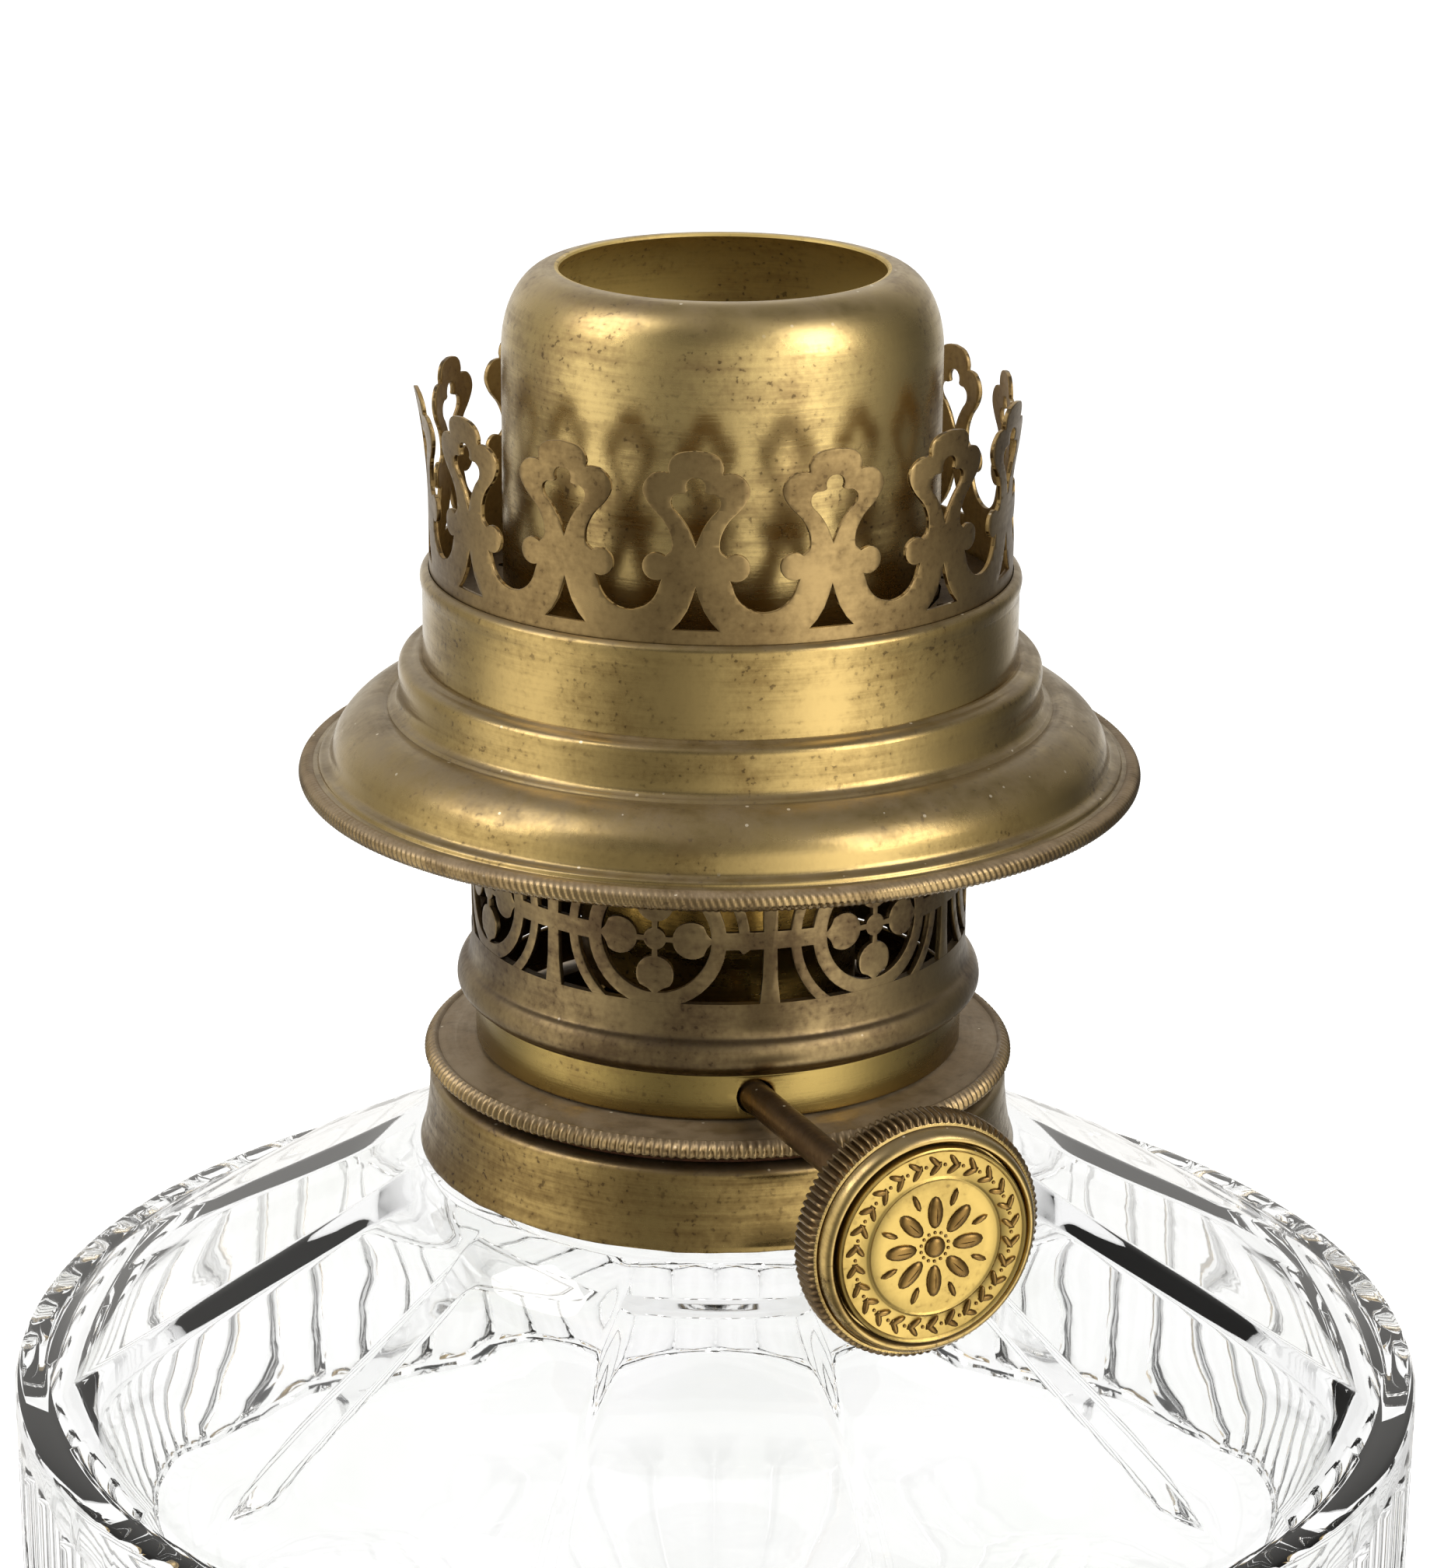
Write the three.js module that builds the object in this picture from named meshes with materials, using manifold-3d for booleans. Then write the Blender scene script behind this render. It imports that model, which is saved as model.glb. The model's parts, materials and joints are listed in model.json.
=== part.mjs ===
// Kerosene table lamp: a round wick burner of aged brass on a moulded clear glass font,
// which stands on a turned brass stem and foot. The chimney and shade are not fitted.
// Sizes are in millimetres and angles in degrees. +Z is up, the lamp's axis is the Z axis,
// the origin is on the table at the middle of the foot, and the lamp's front faces -Y.

import * as THREE from "three";
import { mergeVertices } from "three/addons/utils/BufferGeometryUtils.js";
import Module from "manifold-3d";

// Clearances and stock
const seatGap = 0.3; // between pieces that rest on or sit in each other
const threadPlay = 0.4; // radial play of the burner's thread
const runningPlay = 0.3; // radial play of the spindle in its holes
const sheet = 0.6; // drawn and spun brass
const thinSheet = 0.5; // pressed brass of the crown, drum and tubes
const overlap = 0.5; // how far joined solids reach into each other
const seamOverlap = 0.03; // how far the pressed crown's equal parts reach into each other
const overrun = 1; // how far a cutter passes the face that it cuts

const lampHeight = 292.5; // from the table to the dome's mouth

// Foot and its weight
const feltInset = 6; // from the foot's edge in to the felt's
const feltBore = 16;
const feltThickness = 1.5;
const footRadius = 76;
const footHeight = 28.2;
const footRimRadius = 2.6;
const footStepRadius = 57;
const footStepHeight = 13.4;
const footWall = 1.6;
const footCap = 3;
const footNeckRadius = 19;
const weightMargin = 4; // from the foot's step to the edge of the weight
const weightRecess = 6.2; // depth of the recess for the nut under the weight
const weightRecessRadius = 14;

// Through rod
const rodRadius = 3;
const nutAcrossFlats = 11;
const nutSides = 6;
const nutHeight = 3.8;
const washerRadius = 11;
const washerThickness = 1.2;
const rodEnd = 1.2; // thread that stands past each nut

// Stem
const stemLowerShare = 0.424; // of the height from the foot to the cup
const stemLowerRadius = 17;
const stemLowerWaist = 9.2;
const knopShare = 0.242;
const knopRadius = 22;
const knopEndRadius = 13;
const stemUpperWaist = 9.4;
const stemUpperHead = 17;

// Font cup
const cupHeight = 15.9;
const cupRadius = 36.8;
const cupFloor = 3;
const cupSeatDepth = 8.5; // from the cup's rim down to the seat of its plaster
const nutRecessRadius = 8;
const cupPlasterThickness = 1.2;

// Glass font
const fontWallHeight = 53.3; // from the flat underside to the rim
const fontRadius = 81;
const fontBaseRadius = 61;
const fontCornerHeight = 15;
const fontWall = 6;
const fontFloor = 6;
const fluteCount = 64;
const fluteDepth = 1.6;
const scallopCount = 8;
const scallopDrop = 4; // how far the flutes' heads sink between two scallop points
const rimBand = 2.6; // plain glass over the flutes' heads
const rimWidth = 4;
const shoulderRise = 25.6;
const shoulderFacets = 12;
const pegRadius = 20;
const pegLength = 7.4;
const neckWall = 4;

// Collar
const collarHeight = 9;
const collarFlare = 1.2;
const collarPlate = 1.2;
const collarThreadDepth = 8;
const plasterCap = 1.7;
const collarWasherThickness = 0.6;
const collarWasherWidth = 5;

// Burner base
const skirtRadius = 25.4;
const skirtWall = 2.6;
const skirtLength = 7;
const skirtLip = 1.5;
const baseHeight = 2.4;
const baseOverhang = 0.6; // from the collar's rim out to the base's edge
const basePlateThickness = 0.8;

// Band and air basket
const basketOutset = 2.5; // from the base's threaded skirt out to the basket
const bandInset = 0.4;
const bandHeight = 5;
const beadHeight = 4.3;
const beadStrip = 3.5; // plain sheet between the bead and the pierced zone
const beadBulge = 1.4;
const basketCount = 7; // repeats of the pierced pattern
const basketOffset = -14.2; // angle of the first ring
const pierceHeight = 15; // height of the pierced zone
const basketRimHeight = 9.8;
const edgeSag = 0.05; // how far the sheet's edges draw in at the middle of a repeat
const uprightFlare = 0.15; // how much wider an upright is on each side at its ends
const ringRadius = 7.8;
const ringBand = 1.65;
const heartRadius = 2.1;
const hubDiscRadius = 1.2;
const hubStem = 0.6;
const heartTipReach = 0.5; // half width of a heart's point where it meets the ring
const fanGap = 1.35; // from the ring to the bar that curves round it
const fanBar = 1.15;
const fanUpright = 1.5;
const fanCrossbar = 2;
const brokenFan = 0; // the repeat that has lost one curved bar

// Spindle and its wheels
const spindleAzimuth = 24.5; // turn of the spindle from the front, seen from above
const spindleOffset = 7.5; // from the lamp's axis to the spindle
const spindleRadius = 1.75;
const spindleReach = 62.6; // from the spindle's point nearest the axis to the back of the knob
const spurRadius = 4.6;
const spurRoot = 3.7;
const spurTeeth = 10;
const spurGulletShare = 0.4; // of the way from tooth to tooth
const spurTipShare = 0.7;
const spurThickness = 1;
const spurPitch = 5; // from wheel to wheel
const spurCount = 4;
const spurFloorGap = 2; // from the wheels down to the base plate
const spurTubeGap = 1; // from the wheels up to the wick tube's notch
const bracketReach = 12; // from the middle wheels to each bracket lug
const bracketSheet = 0.8;
const bracketWidth = 6;
const bracketCrown = 3; // metal over the spindle's hole
const spindleTail = 2.5; // rod past the inner lug
const stopWidth = 2;
const stopRadius = 3.2;

// Knob
const knobRadius = 13.1;
const knobThickness = 5.8;
const knobEdge = 0.7;
const knobHubRadius = 4;
const knobHubLength = 2;
const medallionRadius = 10.6;
const medallionDepth = 1.2;
const medallionDome = 0.9;

// Wick and its tubes
const draftTubeRadius = 12.2;
const wickThickness = 2.2;
const wickRecess = 1; // how far the wick's top lies below the tube's lip at rest
const wickRise = 10; // travel up from rest
const wickLower = 6; // travel down from rest
const wickTailSeam = 0.7; // how far the tail reaches into the tube that it curls up to
const wickTailLap = 7.2; // tail above the spindle's axis
const wickTailDrop = 10.5; // from the base plate's face down to the tail's end
const tubeMouthDrop = 9; // from the dome's mouth down to the tubes' lip
const ductHeight = 8;
const ductWidth = 14;
const ductReach = 17.5;
const ductLift = 0.7; // from the highest tail to the duct
const guideGap = 0.5;
const guideSheet = 0.8;
const guideWidth = 22;
const guideHeight = 20;

// Gallery: sleeve, flange, seat, dome and crown
const sleeveDrop = 8.3; // sleeve below the basket's rim
const sleeveTubeInset = 0.8; // from the basket in to the tube over its rim
const sleeveTubeHeight = 12.3;
const shelfRise = 4.2; // from the ledge on the basket up to the shelf of the flange
const shelfThickness = 0.8;
const crownOutset = 3.3; // from the sleeve out to the crown
const drumHeight = 9.5;
const stepOutset = 2.8;
const stepHeight = 5;
const flangeReach = 11.2; // from the step to the flange's edge
const flangeDrop = 7.9; // from the step's foot to the middle of the rim bead
const flangeRimRadius = 1.1;
const seatThickness = 0.8;
const seatSlotCount = 14;
const seatSlotRadius = 0.8;
const domeRadius = 24;
const domeMouthRadius = 18.1;
const domeHeight = 36.5;
const domeShoulder = 9;
const prongCount = 14;
const prongOffset = -4.7; // angle of the first prong
const crownStrip = 2.2; // plain strip between the drum and the pierced foot of the crown
const prongHeight = 19.15; // from the triangle's base to the tip
const scallopRadius = 3.4;
const scallopSweep = 75; // angle from a scallop's lowest point to the side bead
const scallopLevel = 5.3; // from the triangle's base to the scallops' centres
const triangleApexDrop = 0.7;
const prongFlare = 0.8;

// Roundness
const wideSegments = 32;
const plainSegments = 24;
const smallSegments = 12;
const slotSegments = 6;
const curveSteps = 4;
const patternSteps = 2; // steps of a short arc in the pierced and pressed patterns
const stripSteps = 6; // steps of the basket's strip over one repeat

// Levels of the burner and font, from the dome's mouth down
const mouthLevel = lampHeight;
const tubeTop = mouthLevel - tubeMouthDrop;
const wickTop = tubeTop - wickRecess;
const domeBottom = mouthLevel - domeHeight;
const seatBottom = domeBottom;
const ledgeBottom = seatBottom - seatGap - sleeveTubeHeight - sheet;
const shelfBottom = ledgeBottom + sheet + shelfRise;
const shelfTop = shelfBottom + shelfThickness;
const stepUnder = shelfTop + seatGap;
const drumTop = stepUnder + thinSheet + drumHeight;
const basketTop = ledgeBottom - seatGap;
const pierceBottom = basketTop - basketRimHeight - pierceHeight;
const pierceMiddle = pierceBottom + pierceHeight / 2;
const basketBottom = pierceBottom - beadStrip - beadHeight;
const bandBottom = basketBottom - seatGap - bandHeight;
const spindleLevel = bandBottom + bandHeight / 2;
const basePlateTop = spindleLevel - spurRadius - spurFloorGap;
const wickTailTop = spindleLevel + wickTailLap;
const ductBottom = wickTailTop + wickRise + ductLift;
const ductTop = ductBottom + ductHeight;
const baseTop = bandBottom - seatGap;
const baseBottom = baseTop - baseHeight;
const collarWasherBottom = baseBottom - seatGap - collarWasherThickness;
const collarTop = collarWasherBottom - seatGap;
const collarBottom = collarTop - collarHeight;
const neckTop = collarTop - collarPlate - plasterCap - 2 * seatGap;
const shoulderTop = collarBottom - seatGap;
const rimLevel = shoulderTop - shoulderRise;
const fontBottom = rimLevel - fontWallHeight;

// Levels of the stand, from the table up
const footBottom = feltThickness + seatGap;
const footTop = footBottom + footHeight;
const stemLowerBottom = footTop + seatGap;
const cupTop = fontBottom - seatGap;
const cupBottom = cupTop - cupHeight;
const stemHeight = cupBottom - stemLowerBottom;
const knopBottom = stemLowerBottom + stemHeight * stemLowerShare;
const stemUpperBottom = knopBottom + stemHeight * knopShare;
const stemLowerHeight = knopBottom - seatGap - stemLowerBottom;
const knopHeight = stemUpperBottom - seatGap - knopBottom;
const stemUpperHeight = cupBottom - seatGap - stemUpperBottom;

// Radii that follow from the fits
const feltRadius = footRadius - feltInset;
const basketRadius = skirtRadius + basketOutset;
const rodBore = rodRadius + seatGap;
const cupBore = pegRadius + cupPlasterThickness + 2 * seatGap;
const collarBore = skirtRadius + threadPlay;
const collarTubeRadius = collarBore + 2 * threadPlay;
const neckBore = collarTubeRadius + threadPlay;
const neckRadius = neckBore + neckWall;
const collarRadius = neckRadius + 2 * seatGap + 2 * sheet;
const baseRadius = collarRadius + baseOverhang;
const plateRadius = skirtRadius - skirtWall + skirtLip - seatGap;
const bandRadius = basketRadius - bandInset;
const wickInner = draftTubeRadius + seatGap;
const wickOuter = wickInner + wickThickness;
const wickTailWidth = 2 * (wickInner + wickTailSeam);
const tubeInner = wickOuter + seatGap;
const tubeRadius = tubeInner + thinSheet;
const sleeveInner = basketRadius + seatGap;
const sleeveRadius = sleeveInner + sheet;
const sleeveTubeRadius = basketRadius - sleeveTubeInset;
const crownRadius = sleeveRadius + crownOutset;
const crownInner = crownRadius - thinSheet;
const drumInner = crownRadius + seatGap;
const drumRadius = drumInner + thinSheet;
const stepRadius = drumRadius + stepOutset;
const seatBore = domeRadius + seatGap;
const seatSlotCircle = (seatBore + sleeveTubeRadius - sheet) / 2;
const spindleBore = spindleRadius + runningPlay;
const tailFace = spindleOffset - spurRadius - seatGap; // tail's face towards the wheels
const tailBack = tailFace - wickThickness;

const wasm = await Module();
wasm.setup();

const agedBrass = { color: 0x7a6236, roughness: 0.42, metalness: 0.9 };
const brightBrass = { color: 0xa08a4c, roughness: 0.35, metalness: 0.9 };
const darkBrass = { color: 0x5a4a34, roughness: 0.5, metalness: 0.85 };
const steel = { color: 0x6f7276, roughness: 0.45, metalness: 0.9 };
const iron = { color: 0x2c2b2a, roughness: 0.8, metalness: 0.4 };
const clearGlass = { color: 0xeef4f2, roughness: 0.05, metalness: 0, transparent: true, opacity: 0.35 };
const cotton = { color: 0xd9cfb8, roughness: 0.95, metalness: 0 };
const plaster = { color: 0xd2cbbd, roughness: 0.9, metalness: 0 };
const greenFelt = { color: 0x2f4a38, roughness: 0.95, metalness: 0 };
const fibre = { color: 0x5b3a26, roughness: 0.85, metalness: 0 };

function degrees(angle) {
  return (angle * Math.PI) / 180;
}

// Merges shared vertices, drops collapsed triangles and turns the faces outwards.
function closed(geometry) {
  const bare = geometry.index ? geometry.toNonIndexed() : geometry.clone();
  bare.deleteAttribute("normal");
  bare.deleteAttribute("uv");
  const merged = mergeVertices(bare, 1e-4);
  const position = merged.attributes.position;
  const corners = [new THREE.Vector3(), new THREE.Vector3(), new THREE.Vector3()];
  const kept = [];
  let volume = 0;
  for (let i = 0; i < merged.index.count; i += 3) {
    const face = [0, 1, 2].map((j) => merged.index.getX(i + j));
    if (new Set(face).size < 3) continue;
    face.forEach((vertex, j) => corners[j].fromBufferAttribute(position, vertex));
    volume += corners[0].dot(corners[1].clone().cross(corners[2]));
    kept.push(...face);
  }
  if (volume < 0) {
    for (let i = 0; i < kept.length; i += 3) [kept[i], kept[i + 1]] = [kept[i + 1], kept[i]];
  }
  merged.setIndex(kept);
  return merged;
}

function toSolid(geometry) {
  const mesh = closed(geometry);
  return new wasm.Manifold(new wasm.Mesh({
    numProp: 3,
    vertProperties: new Float32Array(mesh.attributes.position.array),
    triVerts: new Uint32Array(mesh.index.array),
  }));
}

function fromSolid(solid) {
  const mesh = solid.getMesh();
  const geometry = new THREE.BufferGeometry();
  geometry.setAttribute("position", new THREE.BufferAttribute(new Float32Array(mesh.vertProperties), 3));
  geometry.setIndex(Array.from(mesh.triVerts));
  return geometry;
}

function join(geometries) {
  const solids = geometries.map(toSolid);
  return fromSolid(solids.reduce((all, solid) => all.add(solid)));
}

function cut(geometry, cutters) {
  const start = toSolid(geometry);
  return fromSolid(cutters.map(toSolid).reduce((left, cutter) => left.subtract(cutter), start));
}

// Turns an outline of [radius, height] points about the Z axis. A ring's outline is closed on itself.
function turned(outline, segments = plainSegments) {
  const first = outline[0];
  const last = outline[outline.length - 1];
  const onAxis = first[0] === 0 && last[0] === 0;
  const loop = onAxis ? outline : [...outline, first];
  const geometry = new THREE.LatheGeometry(loop.map(([r, z]) => new THREE.Vector2(r, z)), segments);
  return closed(geometry.rotateX(degrees(90)));
}

// A plain ring between two radii and two heights.
function ring(inner, outer, low, high, segments = plainSegments) {
  return turned([[inner, low], [outer, low], [outer, high], [inner, high]], segments);
}

// Points of an arc in the outline plane, with both ends.
function arc(centreX, centreY, radius, from, to, steps = curveSteps) {
  return Array.from({ length: steps + 1 }, (_, i) => {
    const angle = degrees(from + ((to - from) * i) / steps);
    return [centreX + radius * Math.cos(angle), centreY + radius * Math.sin(angle)];
  });
}

// Points of a whole circle about the outline plane's origin, which the shape closes by itself.
function circle(radius, steps = smallSegments) {
  return arc(0, 0, radius, 0, 360 - 360 / steps, steps - 1);
}

function shapeOf(points) {
  return new THREE.Shape(points.map(([x, y]) => new THREE.Vector2(x, y)));
}

function box(lowX, highX, lowY, highY, lowZ, highZ) {
  const geometry = new THREE.BoxGeometry(highX - lowX, highY - lowY, highZ - lowZ);
  return geometry.translate((lowX + highX) / 2, (lowY + highY) / 2, (lowZ + highZ) / 2);
}

function prism(points, holes, thickness) {
  const shape = shapeOf(points);
  holes.forEach((hole) => shape.holes.push(shapeOf(hole)));
  return new THREE.ExtrudeGeometry(shape, { depth: thickness, steps: 1, bevelEnabled: false });
}

// Wraps a flat pattern, drawn in X and Y with its thickness in Z, onto a cylinder about the Z axis.
// X runs round from the front towards +X. The flare is added to the radius by height.
function wrapped(flat, thickness, radius, level, turn, flare = () => 0) {
  const position = flat.attributes.position;
  for (let i = 0; i < position.count; i += 1) {
    const angle = position.getX(i) / radius + degrees(turn);
    const height = position.getY(i);
    const reach = radius - thickness + position.getZ(i) + flare(height);
    position.setXYZ(i, reach * Math.sin(angle), -reach * Math.cos(angle), level + height);
  }
  return closed(flat);
}

function piece(name, geometry, finish) {
  const solid = closed(geometry);
  solid.computeVertexNormals();
  const mesh = new THREE.Mesh(solid, new THREE.MeshStandardMaterial(finish));
  mesh.name = name;
  return mesh;
}

function hexNut(low) {
  const outline = circle(nutAcrossFlats / Math.sqrt(3), nutSides);
  return prism(outline, [circle(rodBore)], nutHeight).translate(0, 0, low);
}

// Foot, weight and felt

const footInnerStep = footStepHeight - footWall;

// The foot's cove from its step to its neck, as [share of the reach outwards, share of the rise].
const footCoveShares = [[1, 0], [0.62, 0.1], [0.32, 0.3], [0.12, 0.6], [0, 0.92], [0, 1]];

function footShell() {
  const rimCentre = footRadius - footRimRadius;
  const coveReach = footStepRadius - footWall - footNeckRadius;
  const coveRise = footHeight - footStepHeight;
  const cove = footCoveShares.map(([r, z]) => [footNeckRadius + coveReach * r, footStepHeight + coveRise * z]);
  return turned([
    [rimCentre - footRimRadius, 0],
    ...arc(rimCentre, footRimRadius, footRimRadius, -90, 90),
    [footStepRadius + footWall, footStepHeight - 2 * footWall],
    [footStepRadius, footStepHeight],
    ...cove,
    [rodBore, footHeight],
    [rodBore, footHeight - footCap],
    [footNeckRadius - footWall, footHeight - 2 * footCap],
    [footStepRadius - footWall, footInnerStep],
    [rimCentre - footRimRadius, 2 * footRimRadius - footWall],
  ], wideSegments).translate(0, 0, footBottom);
}

function footWeight() {
  const edge = footStepRadius - weightMargin;
  const low = footBottom + seatGap;
  const high = footBottom + footInnerStep - seatGap;
  return turned([
    [rodBore, low + weightRecess],
    [weightRecessRadius, low + weightRecess],
    [weightRecessRadius, low],
    [edge, low],
    [edge, high],
    [rodBore, high],
  ]);
}

const washerBottom = footBottom + weightRecess - washerThickness;
const lowerNutBottom = washerBottom - seatGap - nutHeight;
const upperNutBottom = cupBottom + cupFloor + seatGap;

function standGroup() {
  const group = new THREE.Group();
  group.add(piece("foot_felt", ring(feltBore, feltRadius, 0, feltThickness), greenFelt));
  group.add(piece("foot", footShell(), agedBrass));
  group.add(piece("foot_weight", footWeight(), iron));
  group.add(piece("rod_washer",
    ring(rodBore, washerRadius, washerBottom, washerBottom + washerThickness, smallSegments), steel));
  group.add(piece("rod_nut", hexNut(lowerNutBottom), steel));
  const rodLow = lowerNutBottom - rodEnd;
  const rodHigh = upperNutBottom + nutHeight + rodEnd;
  group.add(piece("stem_rod", turned([[0, rodLow], [rodRadius, rodLow], [rodRadius, rodHigh], [0, rodHigh]],
    smallSegments), steel));
  group.add(piece("stem_lower", stemLower(), agedBrass));
  group.add(piece("stem_knop", stemKnop(), agedBrass));
  group.add(piece("stem_upper", stemUpper(), agedBrass));
  group.add(piece("font_cup", fontCup(), agedBrass));
  group.add(piece("cup_nut", hexNut(upperNutBottom), steel));
  const plasterInner = pegRadius + seatGap;
  group.add(piece("cup_plaster", ring(plasterInner, plasterInner + cupPlasterThickness,
    cupTop - cupSeatDepth + seatGap, cupTop - seatGap), plaster));
  return group;
}

// Stem pieces: outlines as [share of the swell from waist to end, share of the height]

function stemOutline(outlineShares, waist, end, height, level) {
  const outer = outlineShares.map(([r, z]) => [waist + (end - waist) * r, level + height * z]);
  return turned([[rodBore, level], ...outer, [rodBore, level + height]], plainSegments);
}

const stemLowerShares = [
  [1, 0], [1, 0.09], [0.7, 0.13], [0.24, 0.25], [0, 0.46], [0.1, 0.72], [0.48, 0.88], [0.8, 0.91], [0.8, 1],
];
const stemUpperShares = [
  [0.6, 0], [0.6, 0.1], [0.27, 0.16], [0, 0.37], [0.08, 0.64], [0.54, 0.85], [1, 0.91], [1, 1],
];

function stemLower() {
  return stemOutline(stemLowerShares, stemLowerWaist, stemLowerRadius, stemLowerHeight, stemLowerBottom);
}

function stemKnop() {
  const half = knopHeight / 2;
  const swell = arc(0, 0, 1, -90, 90, curveSteps + 2)
    .map(([x, y]) => [knopEndRadius + (knopRadius - knopEndRadius) * x, knopBottom + half + half * y]);
  return turned([[rodBore, knopBottom], ...swell, [rodBore, knopBottom + knopHeight]]);
}

function stemUpper() {
  return stemOutline(stemUpperShares, stemUpperWaist, stemUpperHead, stemUpperHeight, stemUpperBottom);
}

const cupShares = [[0, 0], [0.1, 0.13], [0.35, 0.35], [0.76, 0.63], [0.96, 0.9], [1, 0.95], [0.98, 1]];

function fontCup() {
  const outer = cupShares.map(([r, z]) => [
    stemUpperHead + (cupRadius - stemUpperHead) * r,
    cupBottom + cupHeight * z,
  ]);
  return turned([
    [rodBore, cupBottom],
    ...outer,
    [cupBore, cupTop],
    [cupBore, cupTop - cupSeatDepth],
    [nutRecessRadius, cupTop - cupSeatDepth],
    [nutRecessRadius, cupBottom + cupFloor],
    [rodBore, cupBottom + cupFloor],
  ]);
}

// Glass font

// Height share of the scallops at an angle: 1 at the points, 0 half way between them.
function scallopShare(angle) {
  const share = ((angle / 360) * scallopCount + 0.5) % 1;
  return (2 * Math.abs(share - 0.5)) ** 2;
}

// Radius share of a facetted shoulder at an angle: 1 on the edges between two facets.
function facetShare(angle) {
  const half = 180 / shoulderFacets;
  const local = (angle % (2 * half)) - half;
  return Math.cos(degrees(half)) / Math.cos(degrees(local));
}

// A solid of rows round the Z axis. Each row gives [radius, height] at an angle and a column.
function rowed(rows, columns) {
  const points = rows.flatMap((row) => Array.from({ length: columns }, (_, column) => {
    const angle = (360 * column) / columns;
    const [radius, z] = row(angle, column);
    return [radius * Math.sin(degrees(angle)), -radius * Math.cos(degrees(angle)), z];
  }));
  const foot = points.push([0, 0, rows[0](0, 0)[1]]) - 1;
  const head = points.push([0, 0, rows[rows.length - 1](0, 0)[1]]) - 1;
  const at = (row, column) => row * columns + (column % columns);
  const faces = [];
  for (let column = 0; column < columns; column += 1) {
    faces.push(foot, at(0, column + 1), at(0, column));
    faces.push(head, at(rows.length - 1, column), at(rows.length - 1, column + 1));
    for (let row = 0; row < rows.length - 1; row += 1) {
      faces.push(at(row, column), at(row, column + 1), at(row + 1, column + 1));
      faces.push(at(row, column), at(row + 1, column + 1), at(row + 1, column));
    }
  }
  const geometry = new THREE.BufferGeometry();
  geometry.setAttribute("position", new THREE.Float32BufferAttribute(points.flat(), 3));
  geometry.setIndex(faces);
  return geometry;
}

function fontBody() {
  const wallTop = rimLevel - rimBand;
  const shoulderEdge = fontRadius - rimWidth;
  const shoulderFoot = collarRadius + collarFlare + seatGap;
  const sunk = (angle) => wallTop - scallopDrop * (1 - scallopShare(angle));
  const fluted = (column) => fontRadius - (column % 2) * fluteDepth;
  const wall = rowed([
    () => [fontRadius - fluteDepth, fontBottom + fontCornerHeight],
    (angle, column) => [fluted(column), fontBottom + fontCornerHeight + fluteDepth],
    (angle, column) => [fluted(column), sunk(angle) - fluteDepth],
    (angle) => [fontRadius - fluteDepth / 2, sunk(angle)],
    () => [fontRadius - fluteDepth / 2, rimLevel],
  ], 2 * fluteCount);
  const bottom = turned([
    [0, fontBottom],
    [fontBaseRadius, fontBottom],
    [(fontRadius + fontBaseRadius) / 2 + fluteDepth, fontBottom + fontCornerHeight / 3],
    [fontRadius - fluteDepth - seatGap, fontBottom + fontCornerHeight - overlap],
    [fontRadius - fluteDepth - seatGap, fontBottom + fontCornerHeight + overlap],
    [0, fontBottom + fontCornerHeight + overlap],
  ], wideSegments);
  const shoulder = rowed([
    (angle) => [shoulderEdge * facetShare(angle), rimLevel - overlap],
    (angle) => [shoulderEdge * facetShare(angle), rimLevel + overlap],
    (angle) => [(shoulderEdge + shoulderFoot) / 2 * facetShare(angle), (rimLevel + shoulderTop) / 2],
    () => [shoulderFoot, shoulderTop],
  ], 2 * shoulderFacets);
  const disc = (radius, low, high) => turned([[0, low], [radius, low], [radius, high], [0, high]]);
  return join([
    wall,
    bottom,
    shoulder,
    disc(pegRadius, fontBottom - pegLength, fontBottom + overlap),
    disc(neckRadius, shoulderTop - overlap, neckTop),
  ]);
}

const fontFloorTop = fontBottom + fontFloor;

function fontCavity() {
  const wide = fontRadius - fluteDepth - fontWall;
  const ceiling = rimLevel - fontWall / 2;
  return turned([
    [0, fontFloorTop],
    [fontBaseRadius - fontWall, fontFloorTop],
    [wide, fontFloorTop + fontCornerHeight],
    [wide, ceiling],
    [neckBore, shoulderTop - fontWall],
    [neckBore, neckTop + overrun],
    [0, neckTop + overrun],
  ]);
}

// Collar, its plaster and the washer that the burner screws down on

function collarShell() {
  const under = collarTop - collarPlate;
  return turned([
    [collarBore, collarTop],
    [collarRadius - sheet, collarTop],
    [collarRadius, collarTop - sheet],
    [collarRadius + collarFlare, collarBottom],
    [collarRadius + collarFlare - sheet, collarBottom],
    [collarRadius - sheet, under],
    [collarTubeRadius, under],
    [collarTubeRadius, collarTop - collarThreadDepth],
    [collarBore, collarTop - collarThreadDepth],
  ], wideSegments);
}

function collarPlaster() {
  const top = collarTop - collarPlate - seatGap;
  const outer = collarRadius - sheet - seatGap;
  const low = collarBottom + seatGap;
  return turned([
    [collarTubeRadius + seatGap, top],
    [outer, top],
    [outer + collarFlare - seatGap, low],
    [neckRadius + seatGap, low],
    [neckRadius + seatGap, top - plasterCap],
    [collarTubeRadius + seatGap, top - plasterCap],
  ]);
}

function fontGroup() {
  const group = new THREE.Group();
  group.add(piece("glass_font", cut(fontBody(), [fontCavity()]), clearGlass));
  group.add(piece("collar_plaster", collarPlaster(), plaster));
  group.add(piece("font_collar", collarShell(), darkBrass));
  const inner = collarBore + seatGap;
  group.add(piece("collar_washer", ring(inner, inner + collarWasherWidth,
    collarWasherBottom, collarWasherBottom + collarWasherThickness), fibre));
  return group;
}

// Burner base, band and basket

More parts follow.
